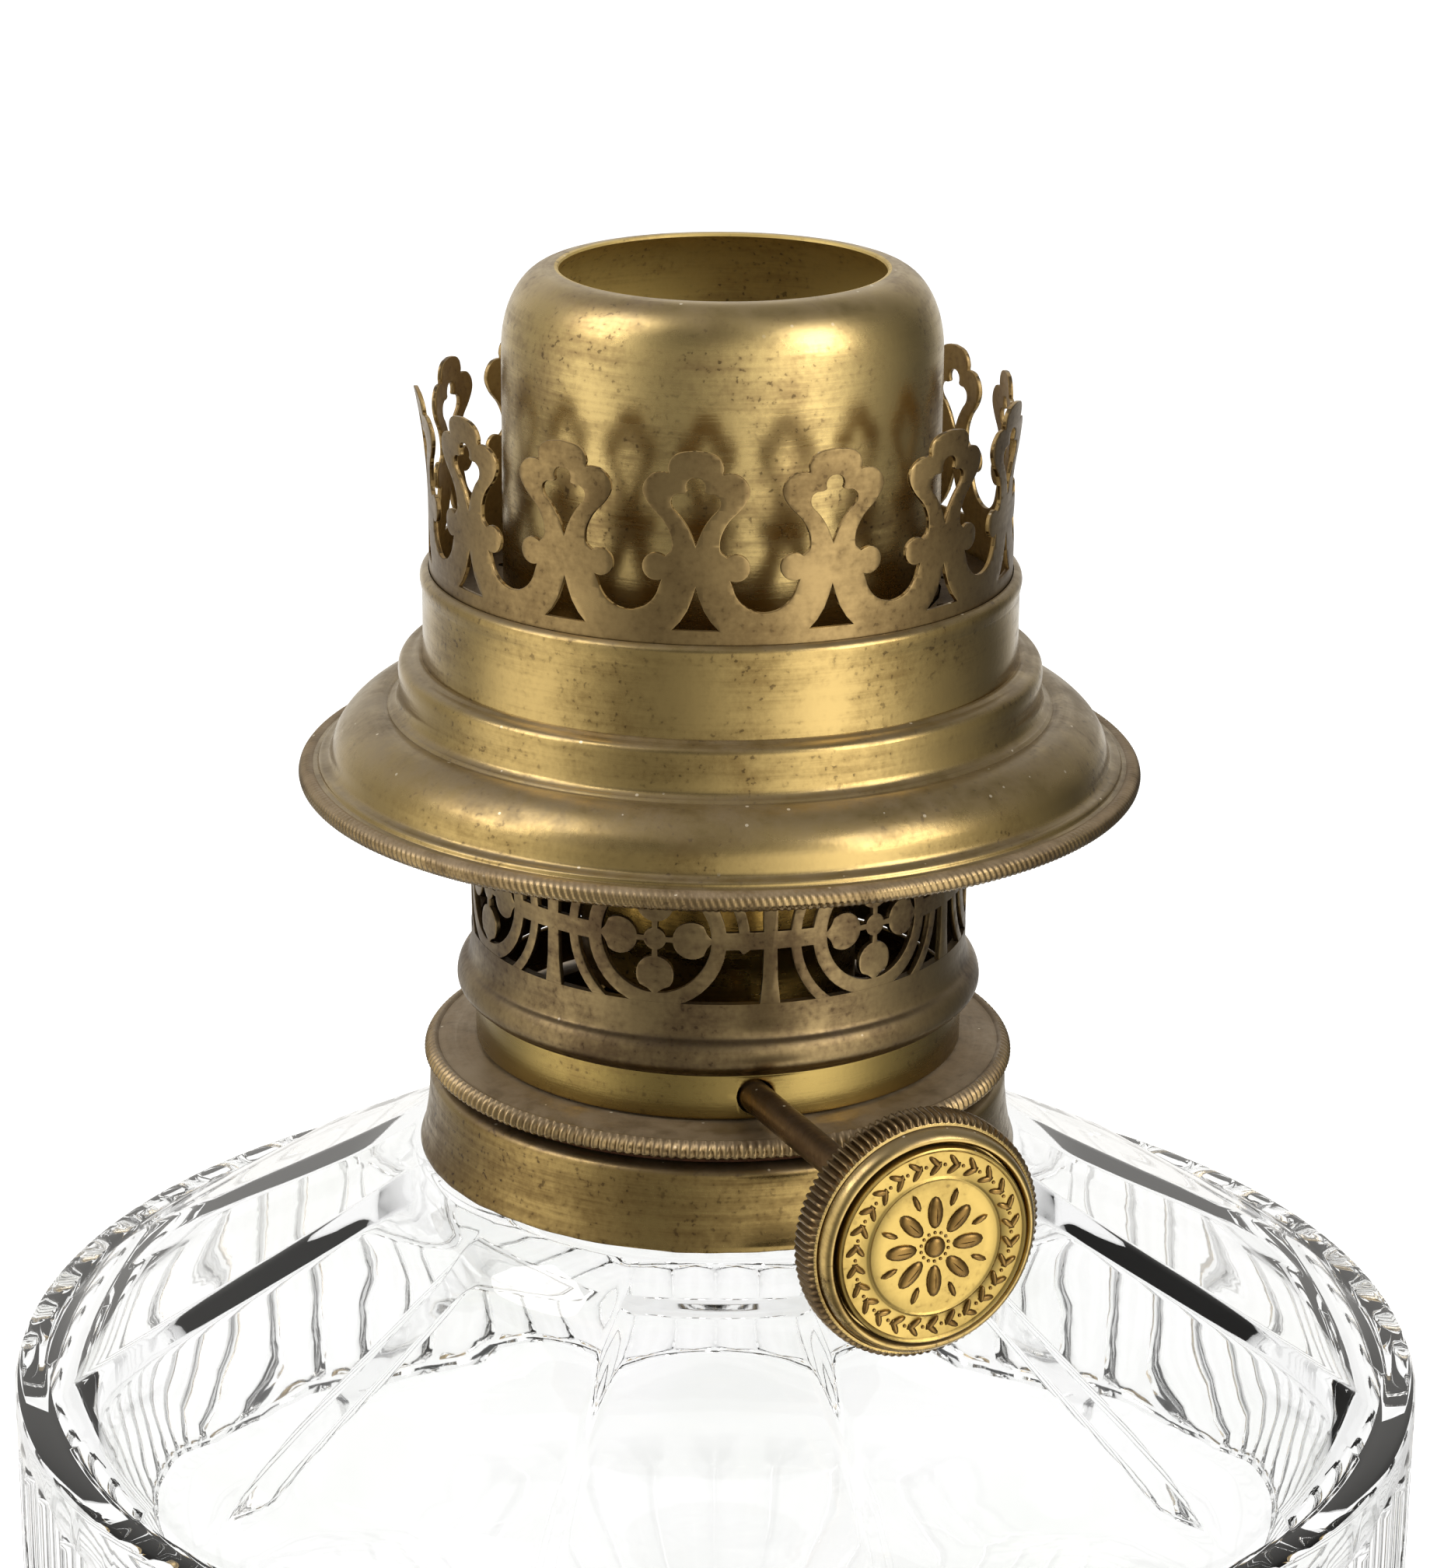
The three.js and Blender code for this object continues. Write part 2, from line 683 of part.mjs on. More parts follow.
function burnerBase() {
  const lipTop = basePlateTop - basePlateThickness - seatGap;
  const bore = skirtRadius - skirtWall;
  const edge = baseHeight / 5;
  return turned([
    [bore + skirtLip, baseTop],
    [basketRadius, baseTop],
    [baseRadius - edge, baseBottom + 4 * edge],
    [baseRadius, baseBottom + 3 * edge],
    [baseRadius, baseBottom + edge],
    [baseRadius - 2 * edge, baseBottom],
    [skirtRadius, baseBottom],
    [skirtRadius, baseBottom - skirtLength],
    [bore, baseBottom - skirtLength],
    [bore, lipTop],
    [bore + skirtLip, lipTop],
  ], wideSegments);
}

function basePlate() {
  const disc = turned([
    [0, basePlateTop - basePlateThickness],
    [plateRadius, basePlateTop - basePlateThickness],
    [plateRadius, basePlateTop],
    [0, basePlateTop],
  ]);
  const half = wickTailWidth / 2 + seatGap;
  return cut(disc, [box(-tailFace - seatGap, -tailBack + seatGap, -half, half,
    basePlateTop - basePlateThickness - overrun, basePlateTop + overrun)]);
}

function burnerBand() {
  const band = ring(bandRadius - sheet, bandRadius, bandBottom, bandBottom + bandHeight, wideSegments);
  const hole = new THREE.CylinderGeometry(spindleBore, spindleBore, bandRadius, smallSegments);
  return cut(band, [hole.translate(-spindleOffset, -bandRadius, spindleLevel)]);
}

function turnedPoints(points, angle) {
  const cosine = Math.cos(degrees(angle));
  const sine = Math.sin(degrees(angle));
  return points.map(([x, y]) => [x * cosine - y * sine, x * sine + y * cosine]);
}

const repeatHalf = (Math.PI * basketRadius) / basketCount;

// The sheet's edges draw in a little over one repeat.
function bowed(x, height) {
  return [x, height - edgeSag * (1 - (x / repeatHalf) ** 2)];
}

// Points of an arc about the ring's centre, between two heights over it.
function arcBetween(radius, low, high) {
  const across = (height) => Math.sqrt(radius ** 2 - height ** 2);
  const angle = (height) => (180 / Math.PI) * Math.asin(height / radius);
  const inside = arc(0, 0, radius, angle(low), angle(high), patternSteps).slice(1, -1);
  return [bowed(across(low), low), ...inside, bowed(across(high), high)];
}

// Opening inside the ring, between the heart along +X and the heart along +Y.
function quadrantHole() {
  const inner = ringRadius - ringBand;
  const centre = inner - heartRadius;
  const diagonal = Math.SQRT1_2;
  const half = [
    [Math.sqrt(inner ** 2 - heartTipReach ** 2), heartTipReach],
    [centre + heartRadius / 2, heartRadius * Math.cos(degrees(30))],
    [centre, heartRadius],
    [centre - heartRadius * diagonal, heartRadius * diagonal],
    [hubDiscRadius + hubStem / 2, hubStem / 2],
  ];
  const other = half.map(([x, y]) => [y, x]).reverse();
  const onDiagonal = (radius) => [radius * diagonal, radius * diagonal];
  return [onDiagonal(inner), ...half, onDiagonal(hubDiscRadius), ...other];
}

// Openings at the upper right of a ring: beside the ring, and between its curved bar and the upright.
function fanHoles(broken) {
  const low = fanCrossbar / 2;
  const high = pierceHeight / 2;
  const post = repeatHalf - fanUpright / 2;
  const end = [bowed(post, low), bowed(post - uprightFlare, high)];
  const beside = arcBetween(ringRadius, low, high).reverse();
  const barInner = ringRadius + fanGap;
  const beyond = arcBetween(barInner + fanBar, low, high).reverse();
  if (broken) return [[...beside, ...end]];
  return [[...beside, ...arcBetween(barInner, low, high)], [...beyond, ...end]];
}

// One repeat of the pierced sheet from the bead up to the basket's top: a ring with four hearts and its fans.
function basketRepeat(index) {
  const half = repeatHalf + seamOverlap;
  const across = Array.from({ length: stripSteps + 1 }, (_, i) => half * ((2 * i) / stripSteps - 1));
  const low = across.map((x) => bowed(x, pierceHeight / 2 + beadStrip + overlap)).map(([x, y]) => [x, -y]);
  const high = across.map((x) => bowed(x, pierceHeight / 2 + basketRimHeight)).reverse();
  const holes = [0, 90, 180, 270].map((angle) => turnedPoints(quadrantHole(), angle));
  [[1, 1], [1, -1], [-1, 1], [-1, -1]].forEach(([side, end]) => {
    const openings = fanHoles(index === brokenFan && side > 0 && end < 0);
    holes.push(...openings.map((hole) => hole.map(([x, y]) => [side * x, end * y])));
  });
  return wrapped(prism([...low, ...high], holes, sheet), sheet, basketRadius, pierceMiddle,
    basketOffset + (360 / basketCount) * index);
}

function airBasket() {
  const half = (beadHeight - overlap / 2) / 2;
  const edge = basketRadius + seatGap;
  const bulge = arc(0, 0, 1, -90, 90, curveSteps)
    .map(([x, y]) => [edge + beadBulge * x, basketBottom + half + half * y]);
  const inner = basketRadius - sheet - overlap;
  const bead = turned([[inner, basketBottom], ...bulge, [inner, basketBottom + 2 * half]], wideSegments);
  return join([bead, ...Array.from({ length: basketCount }, (_, i) => basketRepeat(i))]);
}

// Wick tube, draft tube and wick. Here -Y is along the spindle towards the knob, and -X towards the spindle.

const notchTop = spindleLevel + spurRadius + spurTubeGap;

function wickTube() {
  const low = basePlateTop + seatGap;
  const tube = ring(tubeInner, tubeRadius, low, tubeTop);
  const notch = box(-tubeRadius - overrun, -tailFace - threadPlay, -tubeRadius - overrun,
    tubeRadius + overrun, low - overrun, notchTop);
  const window = box(0, tubeRadius + overrun, -ductWidth / 2 - seatGap, ductWidth / 2 + seatGap,
    ductBottom - seatGap, ductTop + seatGap);
  return cut(tube, [notch, window]);
}

function draftTube() {
  const halfWidth = ductWidth / 2;
  const inner = draftTubeRadius - thinSheet;
  const body = turned([
    [0, ductBottom],
    [draftTubeRadius, ductBottom],
    [draftTubeRadius, tubeTop],
    [0, tubeTop],
  ]);
  const duct = box(0, ductReach, -halfWidth, halfWidth, ductBottom, ductTop);
  const bore = turned([
    [0, ductBottom + thinSheet],
    [inner, ductBottom + thinSheet],
    [inner, tubeTop + overrun],
    [0, tubeTop + overrun],
  ]);
  const passage = box(0, ductReach + overrun, -halfWidth + thinSheet, halfWidth - thinSheet,
    ductBottom + thinSheet, ductTop - thinSheet);
  return cut(join([body, duct]), [bore, passage]);
}

function wickSolid() {
  const sideBottom = basePlateTop + wickLower + seatGap;
  const wheelClear = notchTop + wickLower;
  const far = wickOuter + overrun;
  const tube = ring(wickInner, wickOuter, sideBottom, wickTop);
  const split = box(0, far, -ductWidth / 2 - seatGap, ductWidth / 2 + seatGap,
    sideBottom - overrun, ductTop + wickLower + seatGap);
  const wheelRoom = box(-far, -tailFace, -far, far, sideBottom - overrun, wheelClear);
  const tailBottom = basePlateTop - wickTailDrop;
  const tail = box(-tailFace, -tailBack, -wickTailWidth / 2, wickTailWidth / 2, tailBottom, wickTailTop);
  return join([cut(tube, [split, wheelRoom]), tail]);
}

function wickGuide() {
  const face = tailBack - guideGap;
  const low = basePlateTop + seatGap;
  return box(-face, -face + guideSheet, -guideWidth / 2, guideWidth / 2, low, low + guideHeight);
}

// Spindle: a rod along Y with its wheels, stop collar and knob

function bracket() {
  const low = basePlateTop + seatGap;
  const left = -spindleOffset - bracketWidth / 2;
  const right = -spindleOffset + bracketWidth / 2;
  const reach = bracketReach + bracketSheet;
  const high = spindleLevel + bracketCrown;
  const strap = box(left, right, -reach, reach, low, low + bracketSheet);
  const lugs = [-reach, bracketReach].map((y) => box(left, right, y, y + bracketSheet, low, high));
  const bore = new THREE.CylinderGeometry(spindleBore, spindleBore, 2 * reach + 2 * overrun, smallSegments);
  return cut(join([strap, ...lugs]), [bore.translate(-spindleOffset, 0, spindleLevel)]);
}

// A turned piece about the spindle. Its outline's heights run from the nearest point out to the knob.
function aboutSpindle(outline, segments = smallSegments) {
  return turned(outline, segments).rotateX(degrees(90)).translate(-spindleOffset, 0, spindleLevel);
}

function spurWheel(reach) {
  const teeth = [];
  for (let tooth = 0; tooth < spurTeeth; tooth += 1) {
    const pitch = 360 / spurTeeth;
    teeth.push(...arc(0, 0, spurRoot, pitch * tooth, pitch * (tooth + spurGulletShare), 1));
    const tip = degrees(pitch * (tooth + spurTipShare));
    teeth.push([spurRadius * Math.cos(tip), spurRadius * Math.sin(tip)]);
  }
  const wheel = prism(teeth, [circle(spindleBore)], spurThickness);
  return wheel.translate(0, 0, reach - spurThickness / 2).rotateX(degrees(90))
    .translate(-spindleOffset, 0, spindleLevel);
}

const knobFront = spindleReach + knobThickness;
const medallionBack = knobFront - medallionDepth;

function knobDisc() {
  const hubBack = spindleReach - knobHubLength;
  const socket = spindleReach + knobThickness / 3;
  return aboutSpindle([
    [spindleBore, hubBack],
    [knobHubRadius, hubBack],
    [knobHubRadius, spindleReach],
    [knobRadius - knobEdge, spindleReach],
    [knobRadius, spindleReach + knobEdge],
    [knobRadius, knobFront - 2 * knobEdge],
    [knobRadius - knobEdge, knobFront],
    [medallionRadius + seatGap, knobFront],
    [medallionRadius + seatGap, medallionBack - seatGap],
    [0, medallionBack - seatGap],
    [0, socket],
    [spindleBore, socket],
  ], plainSegments);
}

function medallion() {
  const face = knobFront;
  const swell = arc(0, 0, 1, 0, 90, curveSteps).map(([x, y]) => [
    (medallionRadius - knobEdge) * x,
    face + medallionDome * y,
  ]);
  return aboutSpindle([[0, medallionBack], [medallionRadius, medallionBack], [medallionRadius, face],
    ...swell.slice(0, -1), [0, face + medallionDome]], plainSegments);
}

function burnerGroup() {
  const group = new THREE.Group();
  group.add(piece("burner_base", burnerBase(), darkBrass));
  group.add(piece("air_basket", airBasket(), darkBrass));
  const geared = new THREE.Group();
  geared.rotation.z = degrees(spindleAzimuth);
  geared.add(piece("base_plate", basePlate(), darkBrass));
  geared.add(piece("burner_band", burnerBand(), brightBrass));
  geared.add(piece("wick_tube", wickTube(), brightBrass));
  geared.add(piece("draft_tube", draftTube(), brightBrass));
  geared.add(piece("wick_guide", wickGuide(), darkBrass));
  geared.add(piece("spindle_bracket", bracket(), darkBrass));
  geared.add(piece("wick", wickSolid(), cotton));
  const tail = -bracketReach - bracketSheet - spindleTail;
  const rodEndReach = spindleReach + knobThickness / 3 - seatGap;
  geared.add(piece("spindle_rod", aboutSpindle([[0, tail], [spindleRadius, tail],
    [spindleRadius, rodEndReach], [0, rodEndReach]]), steel));
  for (let wheel = 0; wheel < spurCount; wheel += 1) {
    const reach = spurPitch * (wheel - (spurCount - 1) / 2);
    geared.add(piece(`spur_wheel_${wheel + 1}`, spurWheel(reach), brightBrass));
  }
  const stop = bracketReach + bracketSheet + seatGap;
  geared.add(piece("spindle_stop", aboutSpindle([[spindleBore, stop], [stopRadius, stop],
    [stopRadius, stop + stopWidth], [spindleBore, stop + stopWidth]]), darkBrass));
  geared.add(piece("knob_disc", knobDisc(), darkBrass));
  geared.add(piece("knob_medallion", medallion(), brightBrass));
  group.add(geared);
  return group;
}

// Gallery

function gallerySleeve() {
  const inner = sleeveTubeRadius - sheet;
  const shelfEdge = stepRadius - thinSheet - seatGap;
  return turned([
    [sleeveInner, basketTop - sleeveDrop],
    [sleeveRadius, basketTop - sleeveDrop],
    [sleeveRadius, ledgeBottom + sheet],
    [sleeveTubeRadius, ledgeBottom + sheet],
    [sleeveTubeRadius, shelfBottom],
    [shelfEdge, shelfBottom],
    [shelfEdge, shelfTop],
    [sleeveTubeRadius, shelfTop],
    [sleeveTubeRadius, seatBottom - seatGap],
    [inner, seatBottom - seatGap],
    [inner, ledgeBottom],
    [sleeveInner, ledgeBottom],
  ]);
}

// The flange's top surface from the step's foot over the roll to the brim, as shares of its reach and drop.
const flangeShares = [
  [0, 0], [0.03, 0.05], [0.2, 0.04], [0.41, 0.16], [0.57, 0.36], [0.66, 0.6], [0.68, 0.78], [0.79, 0.86],
];

function shadeFlange() {
  const stepTop = stepUnder + thinSheet;
  const stepFoot = stepTop - stepHeight;
  const rimCentre = stepRadius + flangeReach - flangeRimRadius;
  const top = flangeShares.map(([r, z]) => [stepRadius + flangeReach * r, stepFoot - flangeDrop * z]);
  const under = top.map(([r, z]) => [r - thinSheet, z - thinSheet]).reverse();
  return turned([
    [drumInner, drumTop],
    [drumRadius, drumTop],
    [drumRadius, stepTop],
    [stepRadius, stepTop],
    ...top,
    ...arc(rimCentre, stepFoot - flangeDrop, flangeRimRadius, 90, -90),
    ...under,
    [stepRadius - thinSheet, stepUnder],
    [drumInner, stepUnder],
  ], wideSegments);
}

function chimneySeat() {
  const plate = ring(seatBore, crownInner - seatGap, seatBottom, seatBottom + seatThickness, wideSegments);
  const slots = Array.from({ length: seatSlotCount }, (_, i) => {
    const angle = degrees(prongOffset + (360 / seatSlotCount) * i);
    const hole = new THREE.CylinderGeometry(seatSlotRadius, seatSlotRadius,
      seatThickness + 2 * overrun, slotSegments);
    return hole.rotateX(degrees(90)).translate(seatSlotCircle * Math.sin(angle),
      -seatSlotCircle * Math.cos(angle), seatBottom + seatThickness / 2);
  });
  return cut(plate, slots);
}

function dome() {
  const inset = domeRadius - domeMouthRadius;
  const shoulder = (radius, rise) => arc(0, 0, 1, 0, 90).map(([x, y]) => [
    domeMouthRadius - (domeRadius - radius) + inset * x,
    mouthLevel - domeShoulder + rise * y,
  ]);
  return turned([
    [domeRadius, domeBottom],
    ...shoulder(domeRadius, domeShoulder),
    ...shoulder(domeRadius - sheet, domeShoulder - sheet).reverse(),
    [domeRadius - sheet, domeBottom],
  ], wideSegments);
}

// Right edge of a prong from its side bead to its tip, as shares of the scallop's radius and the head's height.
const prongHeadShares = [
  [0.77, 0.2], [0.86, 0.38], [1.5, 0.58], [1.6, 0.72], [1.25, 0.82], [0.82, 0.83], [0.7, 0.96],
];
const heartHoleShares = [[0.7, 0.58], [0.62, 0.67], [0.27, 0.69], [0.27, 0.77]];
const heartFootShare = 0.275; // of the head's height
const sideBeadShare = 0.436; // of the scallop's radius
const sideBeadShares = [1.22, 0.41]; // place of the side bead's centre, in scallop radii
const sideBeadAngles = [-110, 130]; // where its edge leaves the scallop and where it meets the head

function prongEdge() {
  const head = prongHeight - scallopLevel;
  const [beadX, beadY] = sideBeadShares.map((share) => share * scallopRadius);
  return [
    ...arc(beadX, beadY, sideBeadShare * scallopRadius, ...sideBeadAngles, 2 * patternSteps),
    ...prongHeadShares.map(([x, y]) => [x * scallopRadius, y * head]),
    [0, head],
  ];
}

function heartHole() {
  const head = prongHeight - scallopLevel;
  const half = heartHoleShares.map(([x, y]) => [x * scallopRadius, y * head]);
  const mirrored = half.map(([x, y]) => [-x, y]).reverse();
  return [[0, heartFootShare * head], ...half, ...mirrored];
}

function triangleHole() {
  const half = (Math.PI * crownRadius) / prongCount;
  const reach = Math.hypot(half, triangleApexDrop);
  const side = [0, 0.5, 1].map((share) => {
    const drop = triangleApexDrop + (scallopLevel - triangleApexDrop) * share;
    return [Math.max(half - Math.sqrt(reach ** 2 - drop ** 2), 0), -drop];
  });
  return [...side, ...side.slice(1).map(([x, y]) => [-x, y]).reverse()];
}

// One of the crown's equal parts: a prong over its share of the plain strip.
function crownProng(index) {
  const half = (Math.PI * crownRadius) / prongCount;
  const foot = stepUnder - drumTop - crownStrip - scallopLevel;
  const scallop = arc(half, 0, scallopRadius, 270, 270 - scallopSweep, patternSteps);
  scallop[0] = [half + seamOverlap, -scallopRadius];
  const right = [[half / 3, foot], [half + seamOverlap, foot], ...scallop, ...prongEdge()];
  const left = right.slice(0, -1).map(([x, y]) => [-x, y]).reverse();
  const flare = (height) => prongFlare * Math.max(height / (prongHeight - scallopLevel), 0) ** 3;
  const flat = prism([...right, ...left], [heartHole(), triangleHole()], thinSheet);
  return wrapped(flat, thinSheet, crownRadius, drumTop + crownStrip + scallopLevel,
    prongOffset + (360 / prongCount) * index, flare);
}

function crown() {
  return join(Array.from({ length: prongCount }, (_, i) => crownProng(i)));
}

function galleryGroup() {
  const group = new THREE.Group();
  group.add(piece("gallery_sleeve", gallerySleeve(), darkBrass));
  group.add(piece("shade_flange", shadeFlange(), agedBrass));
  group.add(piece("chimney_seat", chimneySeat(), darkBrass));
  group.add(piece("dome", dome(), agedBrass));
  group.add(piece("crown", crown(), agedBrass));
  return group;
}

const lamp = new THREE.Group();
lamp.add(standGroup(), fontGroup(), burnerGroup(), galleryGroup());

export default lamp;
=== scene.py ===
"""Looks of a round wick kerosene lamp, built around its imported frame.

Profiles and patterns are drawn in millimetres. A finished mesh is in metres, in the frame's own
axes: +Z up along the lamp's axis, the lamp's front towards -Y.
"""

from __future__ import annotations

import json
import logging
import math
import random
from dataclasses import dataclass, fields
from enum import Enum
from functools import partial
from typing import Any, Callable, Iterable, Sequence

import bmesh
import bpy
from mathutils import Matrix, Vector, noise

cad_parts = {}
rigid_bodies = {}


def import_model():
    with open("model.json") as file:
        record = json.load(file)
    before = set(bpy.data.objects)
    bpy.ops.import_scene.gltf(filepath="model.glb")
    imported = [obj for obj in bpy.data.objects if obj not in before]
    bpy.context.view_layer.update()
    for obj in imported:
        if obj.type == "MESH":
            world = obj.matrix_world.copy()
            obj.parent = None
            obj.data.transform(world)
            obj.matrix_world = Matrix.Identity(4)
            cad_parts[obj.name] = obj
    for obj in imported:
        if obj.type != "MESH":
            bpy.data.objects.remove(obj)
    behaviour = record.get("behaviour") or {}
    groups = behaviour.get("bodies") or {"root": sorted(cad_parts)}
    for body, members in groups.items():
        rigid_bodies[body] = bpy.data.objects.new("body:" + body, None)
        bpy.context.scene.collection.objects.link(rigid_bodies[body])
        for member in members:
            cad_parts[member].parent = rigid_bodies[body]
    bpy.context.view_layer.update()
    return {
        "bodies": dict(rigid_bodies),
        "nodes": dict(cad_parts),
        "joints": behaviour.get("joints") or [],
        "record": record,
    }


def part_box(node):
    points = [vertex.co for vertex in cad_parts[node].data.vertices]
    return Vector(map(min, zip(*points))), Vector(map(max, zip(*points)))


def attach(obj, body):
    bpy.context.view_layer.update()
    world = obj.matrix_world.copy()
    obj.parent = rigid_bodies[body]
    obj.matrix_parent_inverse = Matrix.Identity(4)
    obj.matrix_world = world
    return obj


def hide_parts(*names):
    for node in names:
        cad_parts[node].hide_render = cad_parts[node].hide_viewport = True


MM = 0.001
WELD = 1e-4
SEAT_GAP = 0.3
SMOOTH_ANGLE = math.radians(38)
LOG = logging.getLogger("lamp")

Point = tuple[float, float]
Path = list[Point]
Colour = tuple[float, float, float, float]
Mesh = bmesh.types.BMesh
Tree = bpy.types.NodeTree
Socket = bpy.types.NodeSocket
Material = bpy.types.Material

WHITE: Colour = (1.0, 1.0, 1.0, 1.0)
ROOM_TINT: Colour = (1.0, 0.98, 0.94, 1.0)


class Body(Enum):
    """Bodies of the frame that pieces ride on."""

    STAND = "stand"
    WASHER = "washer"
    BURNER = "burner"
    WICK = "wick"
    SPINDLE = "spindle"
    GALLERY = "gallery"


class Slot(Enum):
    """Material slots of the record."""

    AGED = "aged_brass"
    DARK = "dark_brass"
    BRIGHT = "bright_brass"
    STEEL = "steel"
    GLASS = "clear_glass"
    COTTON = "cotton"
    FELT = "felt"
    LEATHER = "washer_leather"


def tone(code: str) -> Colour:
    """Turn a display colour code into a linear colour.

    Args:
        code: six hexadecimal digits.

    Returns:
        The colour with full alpha.
    """
    values = [int(code[i:i + 2], 16) / 255 for i in (0, 2, 4)]
    linear = [v / 12.92 if v <= 0.04045 else ((v + 0.055) / 1.055) ** 2.4 for v in values]
    return (linear[0], linear[1], linear[2], 1.0)


def top_of(node: str) -> float:
    """Give a node's highest level in millimetres."""
    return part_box(node)[1].z / MM


def foot_of(node: str) -> float:
    """Give a node's lowest level in millimetres."""
    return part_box(node)[0].z / MM


# Paths


def arc(centre: Point, radius: float, start: float, stop: float, steps: int = 8) -> Path:
    """Draw an arc.

    Args:
        centre: the arc's centre.
        radius: its radius.
        start: first angle in degrees.
        stop: last angle in degrees.
        steps: how many chords it has.

    Returns:
        Its points, with both ends.
    """
    angles = [math.radians(start + (stop - start) * i / steps) for i in range(steps + 1)]
    return [(centre[0] + radius * math.cos(a), centre[1] + radius * math.sin(a)) for a in angles]


def flowing(points: Sequence[Point], steps: int = 4) -> Path:
    """Draw a smooth run through points.

    Args:
        points: the points it passes.
        steps: how many chords lie between two points.

    Returns:
        The run's points, with both ends.
    """
    ends = [points[0], *points, points[-1]]
    run: Path = []
    for a, b, c, d in zip(ends, ends[1:], ends[2:], ends[3:]):
        for i in range(steps):
            t = i / steps
            run.append(tuple(
                0.5 * (2 * b[k] + (c[k] - a[k]) * t + (2 * a[k] - 5 * b[k] + 4 * c[k] - d[k]) * t * t
                       + (3 * b[k] - a[k] - 3 * c[k] + d[k]) * t ** 3)
                for k in (0, 1)))
    return [*run, points[-1]]


def inset_run(points: Sequence[Point], depth: float) -> Path:
    """Draw the inner face of a sheet whose outer face is a run.

    Args:
        points: the outer face, from top to bottom with the metal on its left.
        depth: the sheet's thickness.

    Returns:
        The inner face in the same order.
    """
    inner: Path = []
    for i, (x, y) in enumerate(points):
        before = points[max(i - 1, 0)]
        after = points[min(i + 1, len(points) - 1)]
        along = Vector((after[0] - before[0], after[1] - before[1])).normalized()
        inner.append((x + along.y * depth, y - along.x * depth))
    return inner


def sheet_ring(points: Sequence[Point], depth: float) -> Path:
    """Close a run with its inner face, as the section of a spun sheet."""
    return [*points, *reversed(inset_run(points, depth))]


def lifted(points: Iterable[Point], level: float) -> Path:
    """Raise a path to a level."""
    return [(x, y + level) for x, y in points]


def mirrored(points: Sequence[Point]) -> Path:
    """Reflect a path across its own upright axis, in reverse order, without points on the axis."""
    return [(-x, y) for x, y in reversed(points) if abs(x) > WELD]


# Meshes, in millimetres until they are finished


def placed(name: str, data: Any) -> bpy.types.Object:
    """Put a new object with its data in the scene."""
    made = bpy.data.objects.new(name, data)
    bpy.context.scene.collection.objects.link(made)
    return made


def lathe(section: Sequence[Point], steps: int = 160, ring: bool = True) -> Mesh:
    """Spin a section about the Z axis.

    Args:
        section: its points as radius and level.
        steps: how many steps make the full turn.
        ring: whether the section closes on itself, or ends on the axis.

    Returns:
        The closed turned mesh.
    """
    sectors = next(n for n in range(math.isqrt(steps) + 1, 0, -1) if steps % n == 0)
    bm = bmesh.new()
    verts = [bm.verts.new((0.0, -r, z)) for r, z in section]
    ends = verts[1:] + verts[:1] if ring else verts[1:]
    edges = [bm.edges.new(pair) for pair in zip(verts, ends)]
    bmesh.ops.spin(bm, geom=verts + edges, cent=(0, 0, 0), axis=(0, 0, 1), dvec=(0, 0, 0),
                   angle=2 * math.pi / sectors, steps=steps // sectors, use_merge=False,
                   use_normal_flip=False, use_duplicate=False)
    sector = bpy.data.meshes.new("sector")
    bm.to_mesh(sector)
    for index in range(1, sectors):
        start = len(bm.verts)
        bm.from_mesh(sector)
        bm.verts.ensure_lookup_table()
        bmesh.ops.rotate(bm, verts=bm.verts[start:], cent=(0, 0, 0),
                         matrix=Matrix.Rotation(2 * math.pi * index / sectors, 3, "Z"))
    bpy.data.meshes.remove(sector)
    bmesh.ops.remove_doubles(bm, verts=bm.verts, dist=WELD * 5)
    bmesh.ops.recalc_face_normals(bm, faces=bm.faces)
    return bm


def ripple(bm: Mesh, count: int, depth: float, zone: Callable[[float, float], float]) -> None:
    """Roll ribs into a turned edge.

    Args:
        bm: the turned mesh.
        count: how many ribs lie round the edge.
        depth: how deep the furrows are.
        zone: gives a share of the depth at a radius and level.
    """
    for vert in bm.verts:
        radius = math.hypot(vert.co.x, vert.co.y)
        share = zone(radius, vert.co.z)
        if share <= 0 or radius < WELD:
            continue
        phase = count * math.atan2(vert.co.x, -vert.co.y)
        furrow = (0.5 - 0.5 * math.cos(phase)) ** 1.5
        scale = (radius - depth * share * furrow) / radius
        vert.co.x *= scale
        vert.co.y *= scale


def stamped(outline: Sequence[Point], holes: Sequence[Sequence[Point]], thickness: float,
            edge: float) -> Mesh:
    """Stamp a flat pattern from sheet, with softened edges.

    Args:
        outline: the pattern's outline.
        holes: the outlines of its openings.
        thickness: the sheet's thickness.
        edge: the radius of its softened edges.

    Returns:
        The flat mesh, with its middle plane at Z = 0.
    """
    curve = bpy.data.curves.new("pattern", "CURVE")
    curve.dimensions = "2D"
    curve.fill_mode = "BOTH"
    curve.extrude = thickness / 2 - edge
    curve.bevel_depth = edge
    curve.bevel_resolution = 1
    curve.offset = -edge
    for loop in (outline, *holes):
        spline = curve.splines.new("POLY")
        spline.points.add(len(loop) - 1)
        for point, (x, y) in zip(spline.points, loop):
            point.co = (x, y, 0, 1)
        spline.use_cyclic_u = True
    pattern = placed("pattern", curve)
    bpy.context.view_layer.update()
    mesh = bpy.data.meshes.new_from_object(pattern.evaluated_get(bpy.context.evaluated_depsgraph_get()))
    bm = bmesh.new()
    bm.from_mesh(mesh)
    bpy.data.objects.remove(pattern)
    bpy.data.curves.remove(curve)
    bpy.data.meshes.remove(mesh)
    bmesh.ops.remove_doubles(bm, verts=bm.verts, dist=WELD)
    return bm


